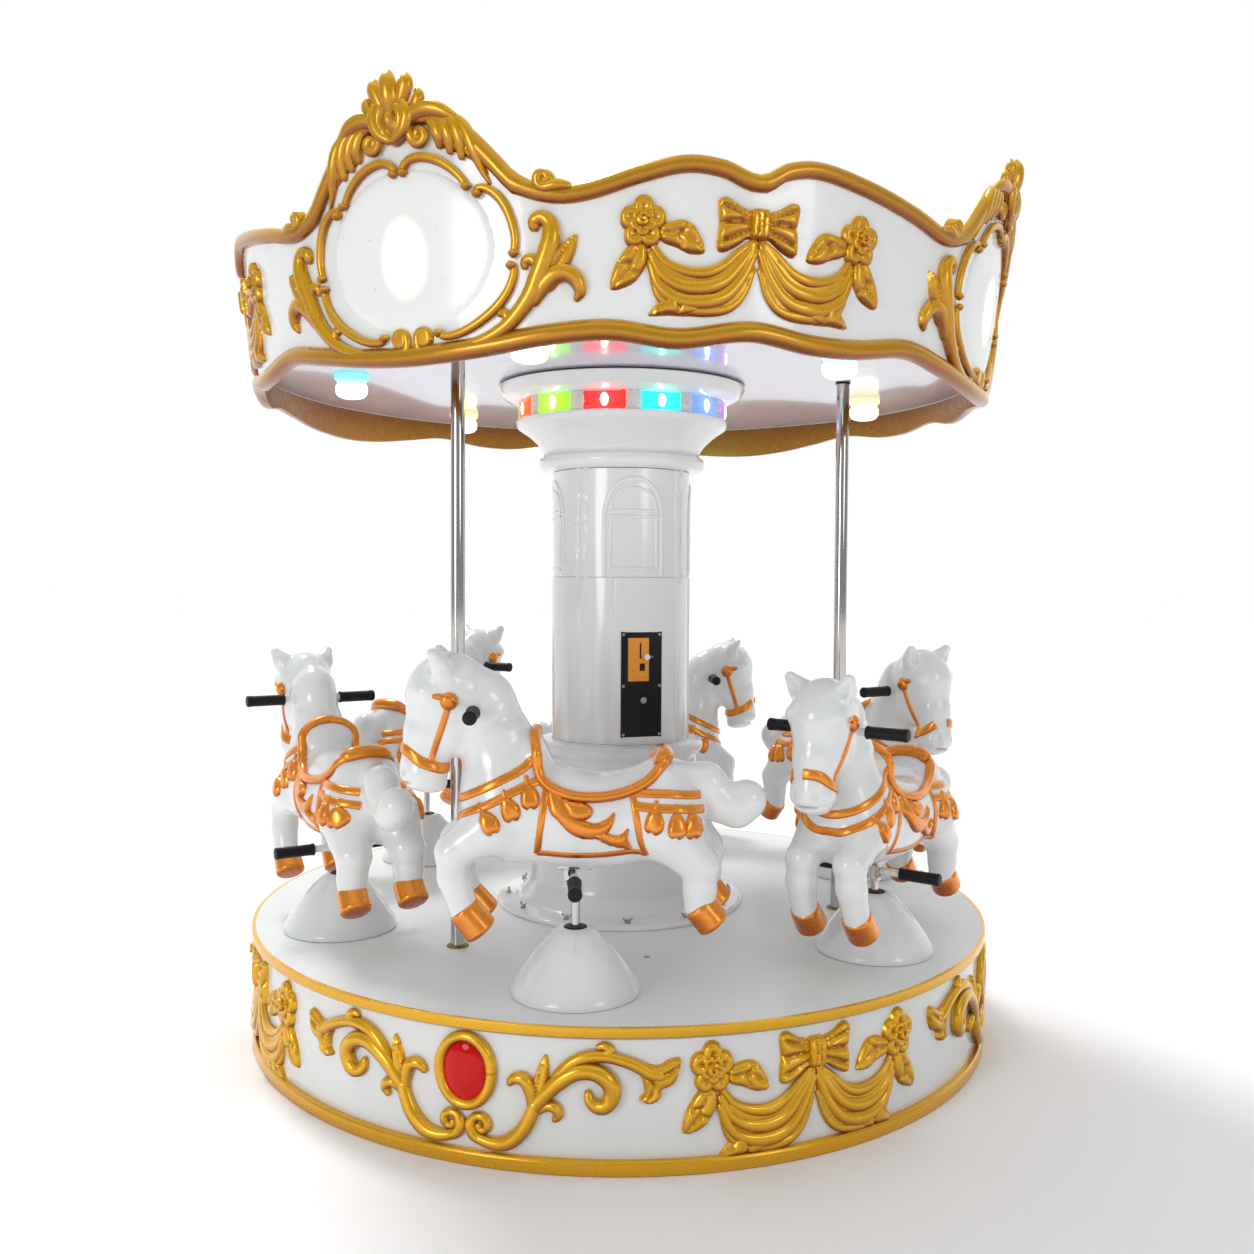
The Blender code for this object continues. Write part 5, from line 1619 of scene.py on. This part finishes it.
def add_stage():
    add_camera()
    scene = bpy.context.scene
    scene.view_settings.view_transform = "Standard"
    studio_world(scene)
    made, tree, shader = surface("matt_studio_floor", Roughness=0.9, IOR=1.4)
    tree.links.new(colour_between(tree, grain(tree, 0.6, 2).outputs["Fac"], "#FBFBFB", "#FFFFFF"),
                   shader.inputs["Base Color"])
    floor = piece("floor", *turned([(0, 0), (40, 0)], 64), made, smooth=False)
    floor.location.z = -0.5 * MM
    sun = bpy.data.objects.new("top_light", bpy.data.lights.new("top_light", "SUN"))
    sun.data.energy, sun.data.angle = 1.5, math.radians(14)
    sun.rotation_euler = (math.radians(-28), math.radians(-18), 0)
    scene.collection.objects.link(sun)
    add_area_light("key_light", (-3.6, -5.4, 2.0), (0, 0, 1.2), 2.2, 62)
    add_area_light("fill_light", (3.6, -4.4, 2.4), (0, 0, 1.0), 1.6, 20)


# Add-on: settings, operators and panel


class CarouselFinish(PropertyGroup):
    gelcoat: FloatVectorProperty(name="Gelcoat", description="Colour of the white moulded shell", subtype="COLOR",
                                 size=4, min=0, max=1, default=linear("#EEF0F0"))
    # gold and amber are the colours on faces that turn up; the finish fades to a dark brown painted shade on faces that
    # turn down and in hollows
    gold: FloatVectorProperty(name="Gold", description="Bright colour of the painted relief", subtype="COLOR",
                              size=4, min=0, max=1, default=linear("#EDB31A"))
    amber: FloatVectorProperty(name="Amber", description="Bright colour of the horses' tack and hooves",
                               subtype="COLOR", size=4, min=0, max=1, default=linear("#F2962A"))


class CarouselSize(PropertyGroup):
    relief: FloatProperty(name="Relief", description="How far the carving stands out, against its usual depth",
                          default=1.0, min=0.3, max=1.0, subtype="FACTOR")
    skin_cell: FloatProperty(name="Horse cell", description="Size of the horses' mesh cells", unit="LENGTH",
                             default=5.0 * MM, min=3 * MM, max=20 * MM)


class CarouselLight(PropertyGroup):
    diode: FloatProperty(name="Diodes", description="Strength of the coloured lights round the column",
                         default=16.0, min=0, max=100)
    lamp: FloatProperty(name="Ceiling lamps", description="Strength of the lamps under the ceiling", default=1.7,
                        min=0, max=100)
    world: FloatProperty(name="Studio", description="Strength of the even studio light", default=1.0, min=0, max=5)


class CAROUSEL_OT_base(Operator):
    """Turned skirt and the gilt ring at the floor."""

    bl_idname = "carousel.base"
    bl_label = "Base"

    def execute(self, context):
        add_base()
        return {"FINISHED"}


class CAROUSEL_OT_medallions(Operator):
    """Red stones in gilt rims, four round the base."""

    bl_idname = "carousel.medallions"
    bl_label = "Medallions"

    def execute(self, context):
        add_medallions()
        return {"FINISHED"}


class CAROUSEL_OT_base_relief(Operator):
    """Scrolled branches and garlands round the base."""

    bl_idname = "carousel.base_relief"
    bl_label = "Base carving"

    def execute(self, context):
        add_base_relief()
        return {"FINISHED"}


class CAROUSEL_OT_deck(Operator):
    """Turning floor with its gilt band."""

    bl_idname = "carousel.deck"
    bl_label = "Deck"

    def execute(self, context):
        add_deck()
        return {"FINISHED"}


class CAROUSEL_OT_column(Operator):
    """Foot, moulded shaft and wing nuts."""

    bl_idname = "carousel.column"
    bl_label = "Column"

    def execute(self, context):
        add_column()
        return {"FINISHED"}


class CAROUSEL_OT_capital(Operator):
    """Turned head of the column."""

    bl_idname = "carousel.capital"
    bl_label = "Capital"

    def execute(self, context):
        add_capital()
        return {"FINISHED"}


class CAROUSEL_OT_coin_panel(Operator):
    """Black plate with the coin slot, its knob and lock."""

    bl_idname = "carousel.coin_panel"
    bl_label = "Coin panel"

    def execute(self, context):
        add_coin_panel()
        return {"FINISHED"}


class CAROUSEL_OT_light_band(Operator):
    """Ring of coloured diodes round the capital."""

    bl_idname = "carousel.light_band"
    bl_label = "Light band"

    def execute(self, context):
        add_led_band()
        return {"FINISHED"}


class CAROUSEL_OT_poles(Operator):
    """Chrome poles with their glands."""

    bl_idname = "carousel.poles"
    bl_label = "Poles"

    def execute(self, context):
        add_poles()
        return {"FINISHED"}


class CAROUSEL_OT_canopy(Operator):
    """Flared wall and the rails on its edges."""

    bl_idname = "carousel.canopy"
    bl_label = "Canopy"

    def execute(self, context):
        add_canopy()
        return {"FINISHED"}


class CAROUSEL_OT_crests(Operator):
    """Carved crests with their lamps, and the garlands between them."""

    bl_idname = "carousel.crests"
    bl_label = "Crests"

    def execute(self, context):
        add_crests()
        return {"FINISHED"}


class CAROUSEL_OT_ceiling(Operator):
    """Ceiling disc and its domed lamps."""

    bl_idname = "carousel.ceiling"
    bl_label = "Ceiling"

    def execute(self, context):
        add_ceiling()
        return {"FINISHED"}


class CAROUSEL_OT_pedestals(Operator):
    """Cones that the horses' rods come out of."""

    bl_idname = "carousel.pedestals"
    bl_label = "Pedestals"

    def execute(self, context):
        add_pedestals()
        return {"FINISHED"}


class CAROUSEL_OT_mounts(Operator):
    """Rods, plates and foot pegs under the horses."""

    bl_idname = "carousel.mounts"
    bl_label = "Mounts"

    def execute(self, context):
        add_mounts()
        return {"FINISHED"}


class CAROUSEL_OT_horses(Operator):
    """Six horses with their tack and handlebars."""

    bl_idname = "carousel.horses"
    bl_label = "Horses"

    def execute(self, context):
        add_horses()
        return {"FINISHED"}


class CAROUSEL_OT_stage(Operator):
    """Floor, lights and camera."""

    bl_idname = "carousel.stage"
    bl_label = "Stage"

    def execute(self, context):
        add_stage()
        return {"FINISHED"}


OPERATORS = (
    CAROUSEL_OT_base, CAROUSEL_OT_medallions, CAROUSEL_OT_base_relief, CAROUSEL_OT_deck,
    CAROUSEL_OT_column, CAROUSEL_OT_capital, CAROUSEL_OT_coin_panel, CAROUSEL_OT_light_band,
    CAROUSEL_OT_poles, CAROUSEL_OT_canopy, CAROUSEL_OT_crests, CAROUSEL_OT_ceiling,
    CAROUSEL_OT_pedestals, CAROUSEL_OT_mounts, CAROUSEL_OT_horses, CAROUSEL_OT_stage,
)


class CAROUSEL_PT_panel(Panel):
    """Sidebar list of the carousel's pieces and settings."""

    bl_label = "Carousel"
    bl_space_type = "VIEW_3D"
    bl_region_type = "UI"
    bl_category = "Carousel"

    def draw(self, context):
        scene = context.scene
        for group in (scene.carousel_finish, scene.carousel_size, scene.carousel_light):
            box = self.layout.box()
            for key in group.__annotations__:
                box.prop(group, key)
        for operator in OPERATORS:
            self.layout.operator(operator.bl_idname)


GROUPS = {"carousel_finish": CarouselFinish, "carousel_size": CarouselSize, "carousel_light": CarouselLight}


def register():
    for cls in (*GROUPS.values(), *OPERATORS, CAROUSEL_PT_panel):
        bpy.utils.register_class(cls)
    for name, cls in GROUPS.items():
        setattr(bpy.types.Scene, name, PointerProperty(type=cls))


def unregister():
    for name in GROUPS:
        delattr(bpy.types.Scene, name)
    for cls in reversed((*GROUPS.values(), *OPERATORS, CAROUSEL_PT_panel)):
        bpy.utils.unregister_class(cls)


def main():
    register()
    for operator in OPERATORS:
        getattr(bpy.ops.carousel, operator.bl_idname.split(".")[1])()


if __name__ == "__main__":
    main()
